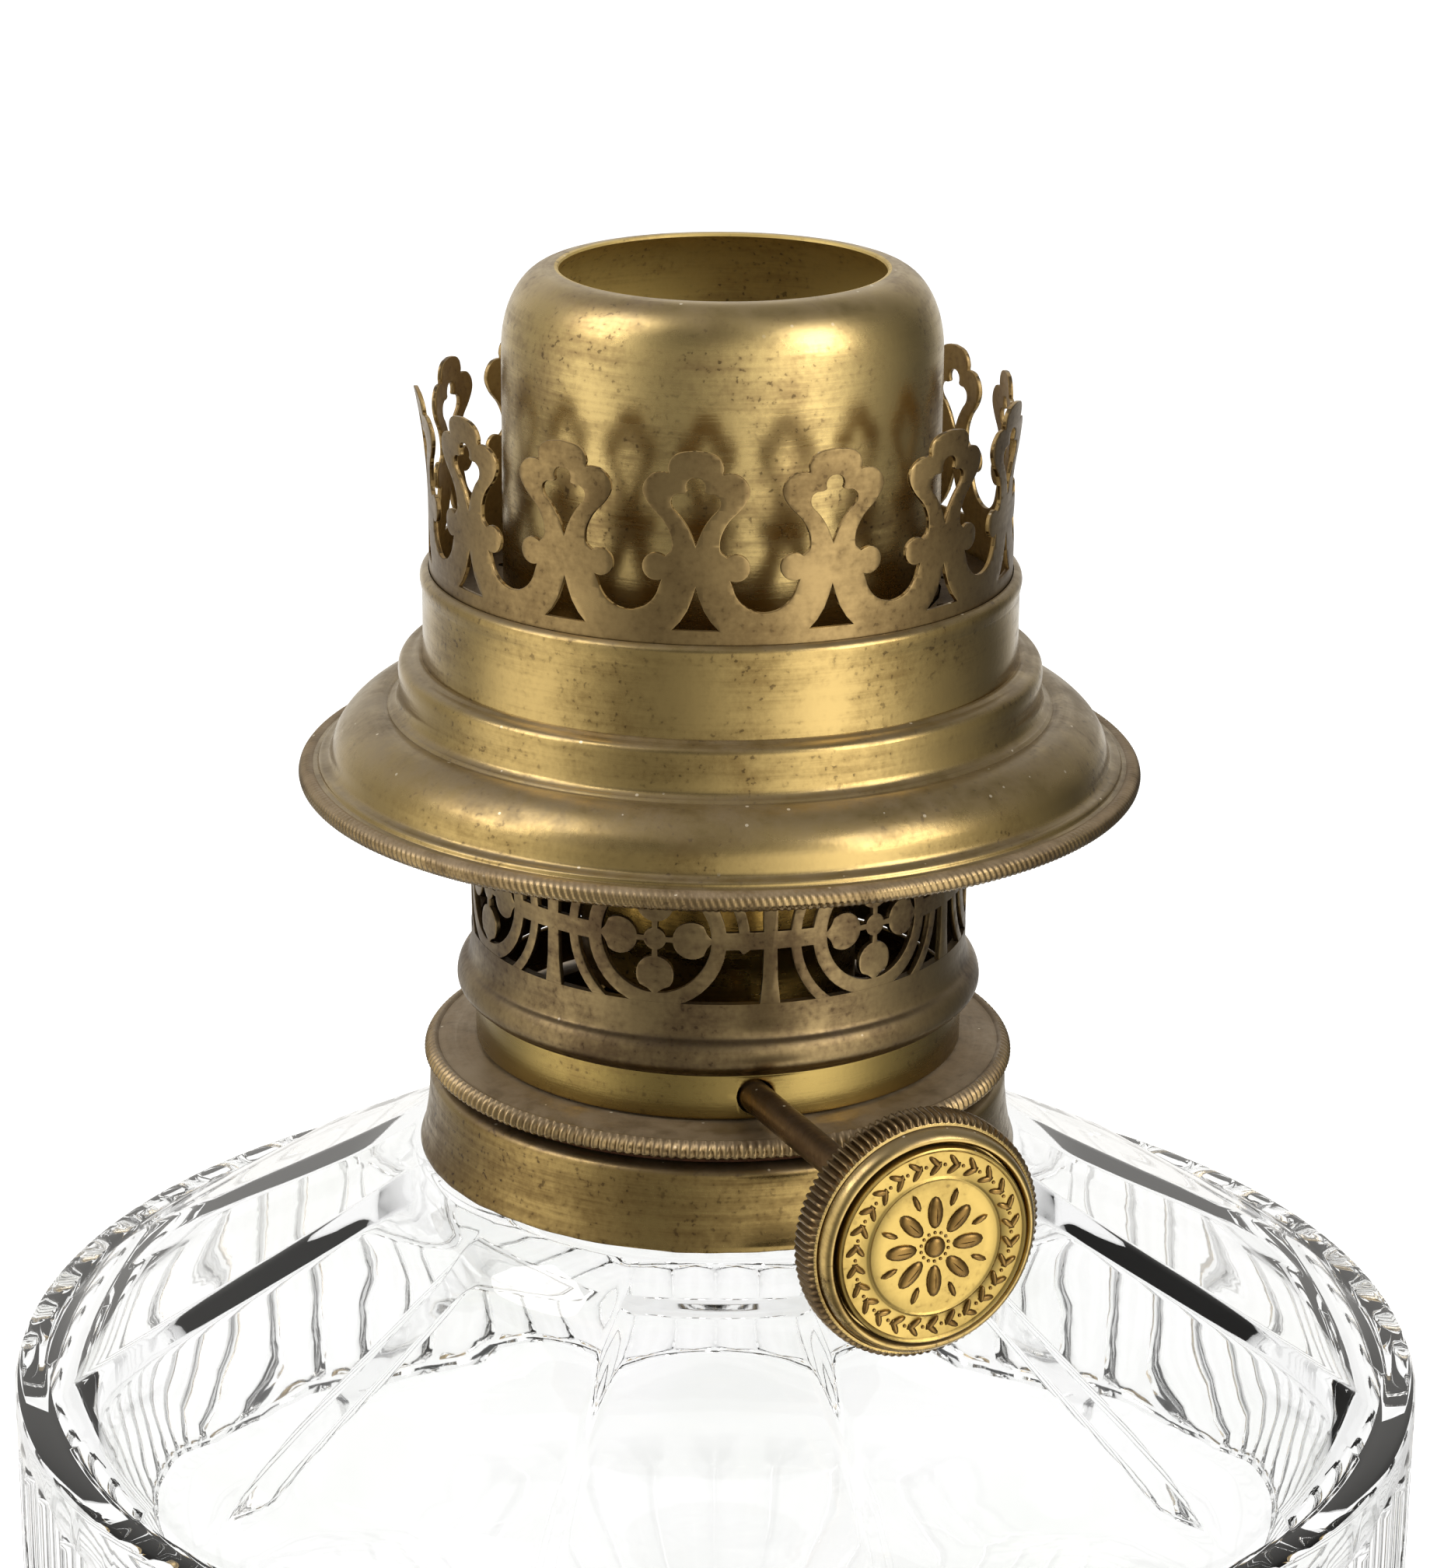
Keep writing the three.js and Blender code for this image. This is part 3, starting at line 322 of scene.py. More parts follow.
def cut_flat(bm: Mesh, place: Sequence[float], normal: Sequence[float], drop: bool = False) -> None:
    """Cut a flat pattern at a plane, and drop what lies beyond it if that is asked."""
    bmesh.ops.bisect_plane(bm, geom=[*bm.verts, *bm.edges, *bm.faces], dist=WELD, plane_co=place,
                           plane_no=normal, clear_outer=drop)


def slice_flat(bm: Mesh, axis: int, marks: Iterable[float]) -> None:
    """Cut a flat pattern across, so that it can bend."""
    normal = [float(k == axis) for k in range(3)]
    for mark in marks:
        cut_flat(bm, [mark * share for share in normal], normal)


def cut_strips(bm: Mesh, half: float, count: int) -> None:
    """Trim a repeat at both ends, where the next ones go on, and cut it into strips that can bend."""
    for side in (-1.0, 1.0):
        cut_flat(bm, (side * half, 0, 0), (side, 0, 0), True)
    slice_flat(bm, 0, [half * i / count for i in range(1 - count, count)])


def wrap_repeats(flat: Mesh, radius: float, thickness: float, level: float,
                 count: int, offset: float,
                 lean: Callable[[int, float, float], float] = lambda index, x, y: 0.0) -> Mesh:
    """Bend the repeats of a flat pattern round the Z axis and weld them.

    Args:
        flat: one repeat, which is freed.
        radius: radius of the sheet's outer face.
        thickness: the sheet's thickness.
        level: level of the pattern's zero height.
        count: how many repeats go round.
        offset: angle of the first repeat's middle, in degrees from the front towards +X.
        lean: how far a point stands out, from the repeat's number and the point's place.

    Returns:
        The bent mesh.
    """
    mesh = bpy.data.meshes.new("repeat")
    flat.to_mesh(mesh)
    flat.free()
    bent = bmesh.new()
    for index in range(count):
        start = len(bent.verts)
        bent.from_mesh(mesh)
        bent.verts.ensure_lookup_table()
        turn = math.radians(offset + 360 * index / count)
        for vert in bent.verts[start:]:
            x, y, z = vert.co
            angle = x / radius + turn
            reach = radius - thickness / 2 + z + lean(index, x, y)
            vert.co = (reach * math.sin(angle), -reach * math.cos(angle), level + y)
    bpy.data.meshes.remove(mesh)
    bmesh.ops.remove_doubles(bent, verts=bent.verts, dist=WELD * 5)
    return bent


def add_part(bm: Mesh, part: Mesh, place: Matrix = Matrix()) -> None:
    """Add a part to a mesh at a place, and free it."""
    mesh = bpy.data.meshes.new("part")
    part.to_mesh(mesh)
    part.free()
    mesh.transform(place)
    bm.from_mesh(mesh)
    bpy.data.meshes.remove(mesh)


def bead(size: Sequence[float], segments: int = 12, rings: int = 6) -> Mesh:
    """Make a small ball that is squashed to three half sizes."""
    bm = bmesh.new()
    bmesh.ops.create_uvsphere(bm, u_segments=segments, v_segments=rings, radius=1.0)
    bmesh.ops.scale(bm, vec=Vector(size), verts=bm.verts)
    return bm


def slab(low: Sequence[float], high: Sequence[float], edge: float) -> Mesh:
    """Make a block between two corners, with rounded edges."""
    bm = bmesh.new()
    bmesh.ops.create_cube(bm, size=1.0)
    size = Vector(high) - Vector(low)
    bmesh.ops.scale(bm, vec=size, verts=bm.verts)
    bmesh.ops.translate(bm, vec=(Vector(high) + Vector(low)) / 2, verts=bm.verts)
    bmesh.ops.bevel(bm, geom=[*bm.edges], offset=edge, segments=2, profile=0.5, affect="EDGES",
                    material=-1)
    return bm


def finish(name: str, bm: Mesh, finish_of: Material, body: Body,
           replaces: Sequence[str] = (), place: Matrix = Matrix(),
           angle: float = SMOOTH_ANGLE) -> bpy.types.Object:
    """Turn a mesh into a finished piece of the lamp.

    Args:
        name: the piece's name.
        bm: its mesh in millimetres, which is freed.
        finish_of: its material.
        body: the body it rides on.
        replaces: the nodes it stands for.
        place: where it is put, in millimetres.
        angle: the sharpest edge that is shaded smooth.

    Returns:
        The new object.
    """
    mesh = bpy.data.meshes.new(name)
    bm.to_mesh(mesh)
    bm.free()
    mesh.transform(Matrix.Scale(MM, 4) @ place)
    mesh.shade_smooth()
    mesh.set_sharp_from_angle(angle=angle)
    mesh.materials.append(finish_of)
    piece = placed(name, mesh)
    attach(piece, body.value)
    if replaces:
        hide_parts(*replaces)
    LOG.info("%s: %d faces", name, len(mesh.polygons))
    return piece


def dress_faces(piece: bpy.types.Object, material: Material,
                wanted: Callable[[Vector, Vector], bool]) -> None:
    """Give some faces of a finished piece a second material.

    Args:
        piece: the finished piece.
        material: the second material.
        wanted: tells from a face's centre and normal whether it takes it.
    """
    piece.data.materials.append(material)
    for face in piece.data.polygons:
        if wanted(face.center, face.normal):
            face.material_index = 1


def faces_axis(centre: Vector, normal: Vector) -> bool:
    """Tell whether a face looks towards the lamp's axis."""
    return centre.x * normal.x + centre.y * normal.y < 0


def dress_nodes(frame: dict[str, Any], nodes: Iterable[str], material: Material) -> None:
    """Give carried-over nodes a better material."""
    for node in nodes:
        for slot in frame["nodes"][node].material_slots:
            slot.material = material


# Materials


def feed(tree: Tree, made: bpy.types.Node, inputs: dict[Any, Any]) -> None:
    """Set or join a node's inputs, by name or number."""
    for key, value in inputs.items():
        if isinstance(value, Socket):
            tree.links.new(value, made.inputs[key])
        else:
            made.inputs[key].default_value = value


def new_material(name: str) -> tuple[Material, Tree, bpy.types.Node]:
    """Start a material.

    Args:
        name: its name.

    Returns:
        The material, its node tree and its shader.
    """
    material = bpy.data.materials.new(name)
    material.use_nodes = True
    return material, material.node_tree, material.node_tree.nodes["Principled BSDF"]


def node(tree: Tree, kind: str, inputs: dict[Any, Any] | None = None,
         **settings: Any) -> bpy.types.Node:
    """Add a node, set it and join its inputs.

    Args:
        tree: the tree it goes in.
        kind: its type.
        inputs: values or output sockets by input name or number.
        settings: its properties.

    Returns:
        The node.
    """
    made = tree.nodes.new(kind)
    for key, value in settings.items():
        setattr(made, key, value)
    feed(tree, made, inputs or {})
    return made


def mixed(tree: Tree, factor: Any, first: Any, second: Any) -> Socket:
    """Mix two colours and give the result's socket."""
    return node(tree, "ShaderNodeMix", {0: factor, 6: first, 7: second}, data_type="RGBA").outputs[2]


def blended(tree: Tree, factor: Any, first: Socket, second: Socket) -> Socket:
    """Mix two shaders and give the result's socket."""
    return node(tree, "ShaderNodeMixShader", {0: factor, 1: first, 2: second}).outputs[0]


def glowing(tree: Tree, kind: str, tint: Colour, strength: Any) -> Socket:
    """Make a background or an emission of a colour and strength, and give its socket."""
    return node(tree, kind, {0: tint, 1: strength}).outputs[0]


def axis_of(tree: Tree, vector: Socket, axis: int) -> Socket:
    """Give the socket of one axis of a vector."""
    return node(tree, "ShaderNodeSeparateXYZ", {0: vector}).outputs[axis]


def maths(tree: Tree, operation: str, *values: Any) -> Socket:
    """Work out a value from others and give the result's socket."""
    return node(tree, "ShaderNodeMath", dict(enumerate(values)), operation=operation).outputs[0]


def ranged(tree: Tree, value: Any, low: Any, high: Any, start: Any = 0.0,
           stop: Any = 1.0) -> Socket:
    """Spread a value from one range to another, smoothly and clamped."""
    made = node(tree, "ShaderNodeMapRange", {0: value, 1: low, 2: high, 3: start, 4: stop},
                interpolation_type="SMOOTHSTEP")
    return made.outputs[0]


def grain(tree: Tree, place: Any, scale: Any, detail: float = 4.0,
          roughness: float = 0.6) -> Socket:
    """Read a noise pattern at a place and give its value's socket."""
    made = node(tree, "ShaderNodeTexNoise", {"Vector": place, "Scale": scale, "Detail": detail,
                                             "Roughness": roughness})
    return made.outputs[0]


def new_group(name: str, inputs: dict[str, tuple[str, Any]], outputs: dict[str, str]) -> tuple[
        Tree, bpy.types.Node, bpy.types.Node]:
    """Start a node group.

    Args:
        name: the group's name.
        inputs: socket type and default value by name.
        outputs: socket type by name.

    Returns:
        The group, its input node and its output node.
    """
    tree = bpy.data.node_groups.new(name, "ShaderNodeTree")
    for key, (kind, value) in inputs.items():
        socket = tree.interface.new_socket(name=key, in_out="INPUT", socket_type=kind)
        socket.default_value = value
    for key, kind in outputs.items():
        tree.interface.new_socket(name=key, in_out="OUTPUT", socket_type=kind)
    return tree, tree.nodes.new("NodeGroupInput"), tree.nodes.new("NodeGroupOutput")


FLOAT = "NodeSocketFloat"
COLOUR = "NodeSocketColor"


@dataclass(frozen=True)
class Patina:
    """Shared effect of old spun brass: streaks, patches, specks and dust on what faces up."""

    round_scale: float = 1.6
    speck_scale: float = 1500.0
    dust_scale: float = 260.0
    slope: float = 0.83
    fine_share: float = 0.25
    mote_scale: float = 700.0
    mote_rarity: float = 0.86
    mote_size: float = 0.13
    mote_cover: float = 0.8
    mote_tone: str = "D8CCB4"

    def group(self) -> Tree:
        """Build the node group, once.

        Returns:
            The group, with outputs Color, Roughness, Metallic and Height.
        """
        found = bpy.data.node_groups.get("brass_patina")
        if found:
            return found
        tree, start, end = new_group("brass_patina", {
            "Clean": (COLOUR, tone("B0904F")), "Tarnish": (COLOUR, tone("6E5734")),
            "Deep": (COLOUR, tone("3A2C1C")), "Dust Tone": (COLOUR, tone("8A7A66")),
            "Tarnish Amount": (FLOAT, 0.5), "Patch Scale": (FLOAT, 90.0),
            "Streak Scale": (FLOAT, 1400.0), "Streak Amount": (FLOAT, 0.3),
            "Speck Amount": (FLOAT, 0.5), "Dust Amount": (FLOAT, 0.4),
            "Polish": (FLOAT, 0.28), "Dullness": (FLOAT, 0.5), "Metal": (FLOAT, 1.0),
        }, {"Color": COLOUR, "Roughness": FLOAT, "Metallic": FLOAT, "Height": FLOAT})
        given = start.outputs
        times, plus, less, larger = (partial(maths, tree, kind)
                                     for kind in ("MULTIPLY", "ADD", "SUBTRACT", "MAXIMUM"))
        spot = node(tree, "ShaderNodeTexCoord").outputs["Object"]
        axes = node(tree, "ShaderNodeSeparateXYZ", {0: spot}).outputs
        reach = maths(tree, "SQRT", plus(times(axes[0], axes[0]), times(axes[1], axes[1])))
        safe = larger(reach, 1e-5)
        across = [times(maths(tree, "DIVIDE", axes[i], safe), self.round_scale) for i in (0, 1)]
        lines = times(plus(axes[2], times(reach, self.slope)), given["Streak Scale"])
        turned = node(tree, "ShaderNodeCombineXYZ", {0: across[0], 1: across[1], 2: lines}).outputs[0]
        streaks = grain(tree, turned, 1.0, 3.0, 0.7)
        patches = grain(tree, spot, given["Patch Scale"], 6.0, 0.62)
        fine = grain(tree, spot, self.speck_scale, 2.0, 0.5)
        streaked = times(less(streaks, 0.5), given["Streak Amount"])
        level = plus(plus(patches, streaked), times(less(fine, 0.5), self.fine_share))
        aged = ranged(tree, plus(level, less(given["Tarnish Amount"], 0.5)), 0.3, 0.7)
        colour = mixed(tree, aged, given["Clean"], given["Tarnish"])
        speckle = times(ranged(tree, fine, 0.62, 0.7), ranged(tree, patches, 0.4, 0.62))
        colour = mixed(tree, times(speckle, given["Speck Amount"]), colour, given["Deep"])
        normal = node(tree, "ShaderNodeNewGeometry").outputs["Normal"]
        upward = ranged(tree, axis_of(tree, normal, 2), 0.3, 0.95)
        drift = ranged(tree, grain(tree, spot, self.dust_scale, 5.0, 0.7), 0.25, 0.7, 0.45, 1.0)
        dust = times(times(upward, drift), given["Dust Amount"])
        colour = mixed(tree, dust, colour, given["Dust Tone"])
        cells = node(tree, "ShaderNodeTexVoronoi", {"Vector": spot, "Scale": self.mote_scale}).outputs
        chosen = maths(tree, "GREATER_THAN", axis_of(tree, cells[1], 0), self.mote_rarity)
        motes = times(maths(tree, "LESS_THAN", cells[0], self.mote_size), chosen)
        motes = times(motes, times(upward, self.mote_cover))
        colour = mixed(tree, motes, colour, tone(self.mote_tone))
        rough = plus(given["Polish"], times(aged, less(given["Dullness"], given["Polish"])))
        rough = plus(plus(rough, times(less(streaks, 0.5), 0.12)), times(dust, 0.3))
        covered = less(1.0, times(larger(dust, motes), 0.7))
        feed(tree, end, {"Color": colour, "Roughness": rough, "Metallic": times(covered, given["Metal"]),
                         "Height": plus(times(streaks, 0.6), times(fine, 0.4))})
        return tree


@dataclass(frozen=True)
class BrassFinish:
    """A brass finish: its tones and how worn, streaked and dusty it is."""

    name: str
    clean: str
    tarnish: str
    deep: str = "33261A"
    dust_tone: str = "857564"
    tarnish_amount: float = 0.5
    patch_scale: float = 90.0
    streak_scale: float = 1400.0
    streak_amount: float = 0.35
    speck_amount: float = 0.6
    dust_amount: float = 0.5
    polish: float = 0.24
    dullness: float = 0.44
    bump: float = 0.12
    metal: float = 1.0

    def build(self) -> Material:
        """Make the material.

        Returns:
            The new material.
        """
        material, tree, shader = new_material(self.name)
        effect = node(tree, "ShaderNodeGroup", {}, node_tree=Patina().group())
        for field in fields(self):
            socket = effect.inputs.get(field.name.replace("_", " ").title())
            if socket is not None:
                value = getattr(self, field.name)
                socket.default_value = tone(value) if isinstance(value, str) else value
        worn = effect.outputs
        bump = node(tree, "ShaderNodeBump",
                    {"Strength": self.bump, "Distance": 0.0002, "Height": worn["Height"]})
        feed(tree, shader, {"Base Color": worn["Color"], "Roughness": worn["Roughness"],
                            "Metallic": worn["Metallic"], "Normal": bump.outputs[0]})
        return material


@dataclass(frozen=True)
class MottledFinish:
    """A plain material of two tones with grain: steel, iron, plaster, felt, leather or cotton."""

    name: str
    light: str
    dark: str
    scale: float
    roughness: float
    metallic: float = 0.0
    bump: float = 0.3
    weave: float = 0.0

    def build(self) -> Material:
        """Make the material.

        Returns:
            The new material.
        """
        material, tree, shader = new_material(self.name)
        spot = node(tree, "ShaderNodeTexCoord").outputs["Object"]
        patches = grain(tree, spot, self.scale, 6.0, 0.65)
        shade = ranged(tree, patches, 0.3, 0.7)
        height = patches
        if self.weave > 0:
            waves = [node(tree, "ShaderNodeTexWave", {"Vector": spot, "Scale": self.weave, "Distortion": 0.4},
                          bands_direction=axis).outputs[1] for axis in ("X", "Y", "Z")]
            times = partial(maths, tree, "MULTIPLY")
            cloth = times(maths(tree, "MAXIMUM", waves[0], waves[1]), waves[2])
            height = maths(tree, "ADD", cloth, times(patches, 0.4))
            shade = times(shade, maths(tree, "SUBTRACT", 1.0, times(cloth, 0.6)))
        colour = mixed(tree, shade, tone(self.light), tone(self.dark))
        rough = ranged(tree, patches, 0.2, 0.8, self.roughness - 0.08, self.roughness + 0.08)
        bump = node(tree, "ShaderNodeBump", {"Strength": self.bump, "Distance": 0.0003, "Height": height})
        feed(tree, shader, {"Base Color": colour, "Roughness": rough, "Metallic": self.metallic,
                            "Normal": bump.outputs[0]})
        return material


@dataclass(frozen=True)
class GlassFinish:
    """Clear pressed glass with a faint mould skin."""

    name: str = "pressed_glass"
    tint: str = "FFFFFF"
    skin: str = "FAFBF9"
    skin_scale: float = 55.0
    ior: float = 1.5
    roughness: float = 0.015
    bump: float = 0.06

    def build(self) -> Material:
        """Make the material.

        Returns:
            The new material.
        """
        material, tree, shader = new_material(self.name)
        spot = node(tree, "ShaderNodeTexCoord").outputs["Object"]
        skin = grain(tree, spot, self.skin_scale, 3.0, 0.5)
        colour = mixed(tree, ranged(tree, skin, 0.35, 0.75), tone(self.tint), tone(self.skin))
        bump = node(tree, "ShaderNodeBump", {"Strength": self.bump, "Distance": 0.0006, "Height": skin})
        feed(tree, shader, {"Base Color": colour, "Roughness": self.roughness, "IOR": self.ior,
                            "Transmission Weight": 1.0, "Normal": bump.outputs[0]})
        return material


@dataclass
class Finishes:
    """Every material of the lamp."""

    spun: Material
    drum: Material
    crown: Material
    basket: Material
    base: Material
    band: Material
    collar: Material
    rod: Material
    knob: Material
    medal: Material
    relief: Material
    tube: Material
    steel: Material
    iron: Material
    plaster: Material
    felt: Material
    leather: Material
    cotton: Material
    glass: Material
    # The last two carry painted light: paler, less metallic copies of brass for inner faces.
    inside: Material
    lining: Material

    @classmethod
    def made(cls) -> Finishes:
        """Build them all."""
        brass = {
            "spun": BrassFinish("spun_brass", "B59E68", "86704A", tarnish_amount=0.42, streak_amount=0.45,
                                polish=0.25, dullness=0.36),
            "drum": BrassFinish("drum_brass", "A28B58", "79643C", tarnish_amount=0.42, dust_amount=0.8,
                                dust_tone="796A52", polish=0.17, dullness=0.32),
            "crown": BrassFinish("crown_brass", "8E7850", "685537", streak_amount=0.1, speck_amount=0.4,
                                 polish=0.28, dullness=0.4, dust_amount=0.2),
            "basket": BrassFinish("basket_brass", "82704E", "544430", tarnish_amount=0.5, streak_amount=0.15,
                                  polish=0.32, dullness=0.46, dust_amount=0.3),
            "base": BrassFinish("base_brass", "8F7A55", "64533A", tarnish_amount=0.5, dust_amount=0.9,
                                dust_tone="98856A"),
            "band": BrassFinish("band_brass", "8C7845", "735E38", tarnish_amount=0.35, speck_amount=0.4,
                                dust_amount=0.5, polish=0.26, dullness=0.36),
            "collar": BrassFinish("collar_brass", "8A7548", "604C2C", tarnish_amount=0.45, speck_amount=0.8,
                                  patch_scale=60.0, streak_amount=0.5),
            "rod": BrassFinish("rod_brass", "7A5F3A", "523C22", tarnish_amount=0.55, dust_amount=0.3),
            "knob": BrassFinish("knob_brass", "8A7450", "4E3E2A", tarnish_amount=0.5, dust_amount=0.2,
                                streak_amount=0.1),
            "medal": BrassFinish("medal_brass", "A99153", "8C7540", tarnish_amount=0.4, speck_amount=0.3,
                                 dust_amount=0.1, streak_amount=0.05, polish=0.3, dullness=0.4),
            "relief": BrassFinish("relief_brass", "7C6236", "5A4424", tarnish_amount=0.5, speck_amount=0.2,
                                  dust_amount=0.1, streak_amount=0.05),
            "tube": BrassFinish("tube_brass", "AF8D48", "8A6A34", tarnish_amount=0.4, dust_amount=0.1),
            # Painted bounce light: a paler, less metallic copy of the brass for the dome's inner faces,
            # standing in for light bouncing inside the mouth.
            "inside": BrassFinish("inner_brass_painted_bounce", "CBB066", "A68A4A", tarnish_amount=0.4, dust_amount=0.1,
                                  streak_amount=0.6, polish=0.42, dullness=0.55, metal=0.3),
            # Painted light: a paler, less metallic copy of the crown's brass for the crown's inner faces, so
            # that they show lit in the dome's reflection.
            "lining": BrassFinish("lining_brass_painted_light", "B0945C", "8C7040", streak_amount=0.1, speck_amount=0.4,
                                  polish=0.4, dullness=0.5, dust_amount=0.2, metal=0.3),
        }
        others = {
            "steel": MottledFinish("dull_steel", "8B8C8C", "5C5A57", 300.0, 0.42, 1.0, 0.1),
            "iron": MottledFinish("raw_iron", "3B3734", "241F1C", 240.0, 0.75, 0.5, 0.5),
            "plaster": MottledFinish("set_plaster", "DDD6C8", "BDB39F", 260.0, 0.9),
            "felt": MottledFinish("green_felt", "3C5846", "26392D", 900.0, 0.95, 0.0, 0.6),
            "leather": MottledFinish("pressed_leather", "6A4127", "3C2416", 420.0, 0.7),
            "cotton": MottledFinish("woven_cotton", "E4DCC8", "B9AD92", 500.0, 0.95, 0.0, 0.7, 330.0),
        }
        made = {key: value.build() for key, value in {**brass, **others}.items()}
        return cls(glass=GlassFinish().build(), **made)


# Sub-assemblies


@dataclass
class Foot:
    """Turned foot with its step, cove and rim, on a felt ring over a cast weight."""

    rim_centre: float = 73.4
    rim_radius: float = 2.6
    bore: float = 3.3
    felt_inner: float = 16.0
    felt_outer: float = 70.0

    def build(self, finishes: Finishes) -> None:
        """Build the foot and its felt."""
        top = top_of("foot")
        low = foot_of("foot")
        bead_level = low + self.rim_radius
        outside = [
            (self.bore, top), (18.2, top), (18.8, top - 0.2), (19.1, top - 0.7), (19.2, top - 1.5),
            *flowing([(19.6, 27.6), (21.3, 25.4), (25.2, 22.1), (30.6, 19.4), (38.0, 17.5), (46.0, 16.4),
                      (52.0, 15.8), (54.8, 15.6)], 3),
            *flowing([(55.2, 15.9), (56.0, 16.1), (56.9, 15.9), (57.5, 15.2), (57.6, 14.4), (57.4, 13.7)], 2),
            *flowing([(57.6, 12.9), (58.4, 12.3), (61.0, 11.6), (64.5, 10.5), (67.8, 8.9), (70.2, 7.7)], 3),
            (70.9, 7.5), (71.2, 7.2), (71.7, 7.1),
            *arc((self.rim_centre, bead_level), self.rim_radius, 112, -88, 12),
        ]
        inner = [(70.6, low + 2.6), (66.0, 8.4), (58.0, 10.8), (55.4, 13.2), (30.0, 17.6), (20.0, 22.6),
                 (17.2, top - 3.4), (self.bore, top - 3.0)]
        finish("foot_spun", lathe([*outside, (self.rim_centre - 1.4, low + 0.3), *inner], 192), finishes.spun,
               Body.STAND, ["foot"])
        felt = [(self.felt_inner, 0.0), (self.felt_outer - 0.3, 0.0), (self.felt_outer, 0.3),
                (self.felt_outer, 1.2), (self.felt_outer - 0.4, 1.5), (self.felt_inner, 1.5)]
        finish("foot_felt_ring", lathe(felt, 128), finishes.felt, Body.STAND, ["foot_felt"])


@dataclass
class Stem:
    """Turned stem pieces and the cup under the font, as radius and share of each piece's height."""

    bore: float = 3.3
    lower: tuple[Point, ...] = (
        (16.4, 0.0), (16.9, 0.02), (17.0, 0.05), (16.9, 0.085), (16.3, 0.1), (15.2, 0.105), (15.0, 0.13),
        (14.2, 0.15), (12.4, 0.19), (10.8, 0.27), (9.6, 0.37), (9.2, 0.47), (9.3, 0.6), (9.9, 0.72),
        (11.2, 0.81), (13.0, 0.865), (13.9, 0.88), (14.1, 0.9), (15.0, 0.905), (15.4, 0.93), (15.4, 0.97),
        (15.0, 1.0))
    upper: tuple[Point, ...] = (
        (13.6, 0.0), (13.9, 0.03), (13.9, 0.07), (13.4, 0.1), (12.3, 0.105), (12.0, 0.13), (11.0, 0.17),
        (9.9, 0.26), (9.4, 0.38), (9.5, 0.52), (10.0, 0.64), (11.4, 0.77), (13.4, 0.85), (14.6, 0.87),
        (14.9, 0.9), (16.2, 0.905), (16.8, 0.93), (17.0, 0.96), (16.8, 1.0))
    cup: tuple[Point, ...] = (
        (17.0, 0.0), (17.1, 0.04), (18.0, 0.1), (20.6, 0.2), (24.4, 0.34), (28.6, 0.47), (32.2, 0.6),
        (34.6, 0.72), (35.7, 0.8), (35.6, 0.83), (36.2, 0.86), (36.7, 0.9), (36.8, 0.94), (36.6, 0.98),
        (36.3, 1.0))

    def shaped(self, node_name: str, shares: Sequence[Point]) -> Path:
        """Set a piece's shares on its node's height."""
        low, high = foot_of(node_name), top_of(node_name)
        return [(r, low + (high - low) * share) for r, share in shares]

    def knop(self) -> Path:
        """Draw the knop: a flattened ball between two fillets, with a middle bead."""
        low, high = foot_of("stem_knop"), top_of("stem_knop")
        middle, half = (low + high) / 2, (high - low) / 2
        swell = [(13.2 + 7.9 * math.cos(math.radians(a)), middle + (half - 0.9) * math.sin(math.radians(a)))
                 for a in range(-84, 90, 7) if abs(a) > 8]
        band = [(21.3, middle - 1.1), (21.8, middle - 0.8), (22.0, middle), (21.8, middle + 0.8),
                (21.3, middle + 1.1)]
        lower = [point for point in swell if point[1] < middle]
        upper = [point for point in swell if point[1] > middle]
        return [(13.0, low), (13.4, low + 0.4), *lower, *band, *upper, (13.4, high - 0.4), (13.0, high)]

    def build(self, finishes: Finishes) -> None:
        """Build the stem pieces and the cup."""
        for name, run, steps, brass in (
                ("stem_lower", self.shaped("stem_lower", self.lower), 144, finishes.spun),
                ("stem_upper", self.shaped("stem_upper", self.upper), 144, finishes.spun),
                ("stem_knop", self.knop(), 160, finishes.drum)):
            section = [(self.bore, run[0][1]), *run, (self.bore, run[-1][1])]
            finish(f"{name}_turned", lathe(section, steps), brass, Body.STAND, [name])
        outer = self.shaped("font_cup", self.cup)
        low, high = foot_of("font_cup"), top_of("font_cup")
        inside = [(21.9, high), (21.8, high - 0.3), (21.8, high - 8.5), (8.0, high - 8.5), (8.0, low + 3.0),
                  (self.bore, low + 3.0), (self.bore, low)]
        finish("font_cup_turned", lathe([*outer, *inside], 160), finishes.spun, Body.STAND,
               ["font_cup"])


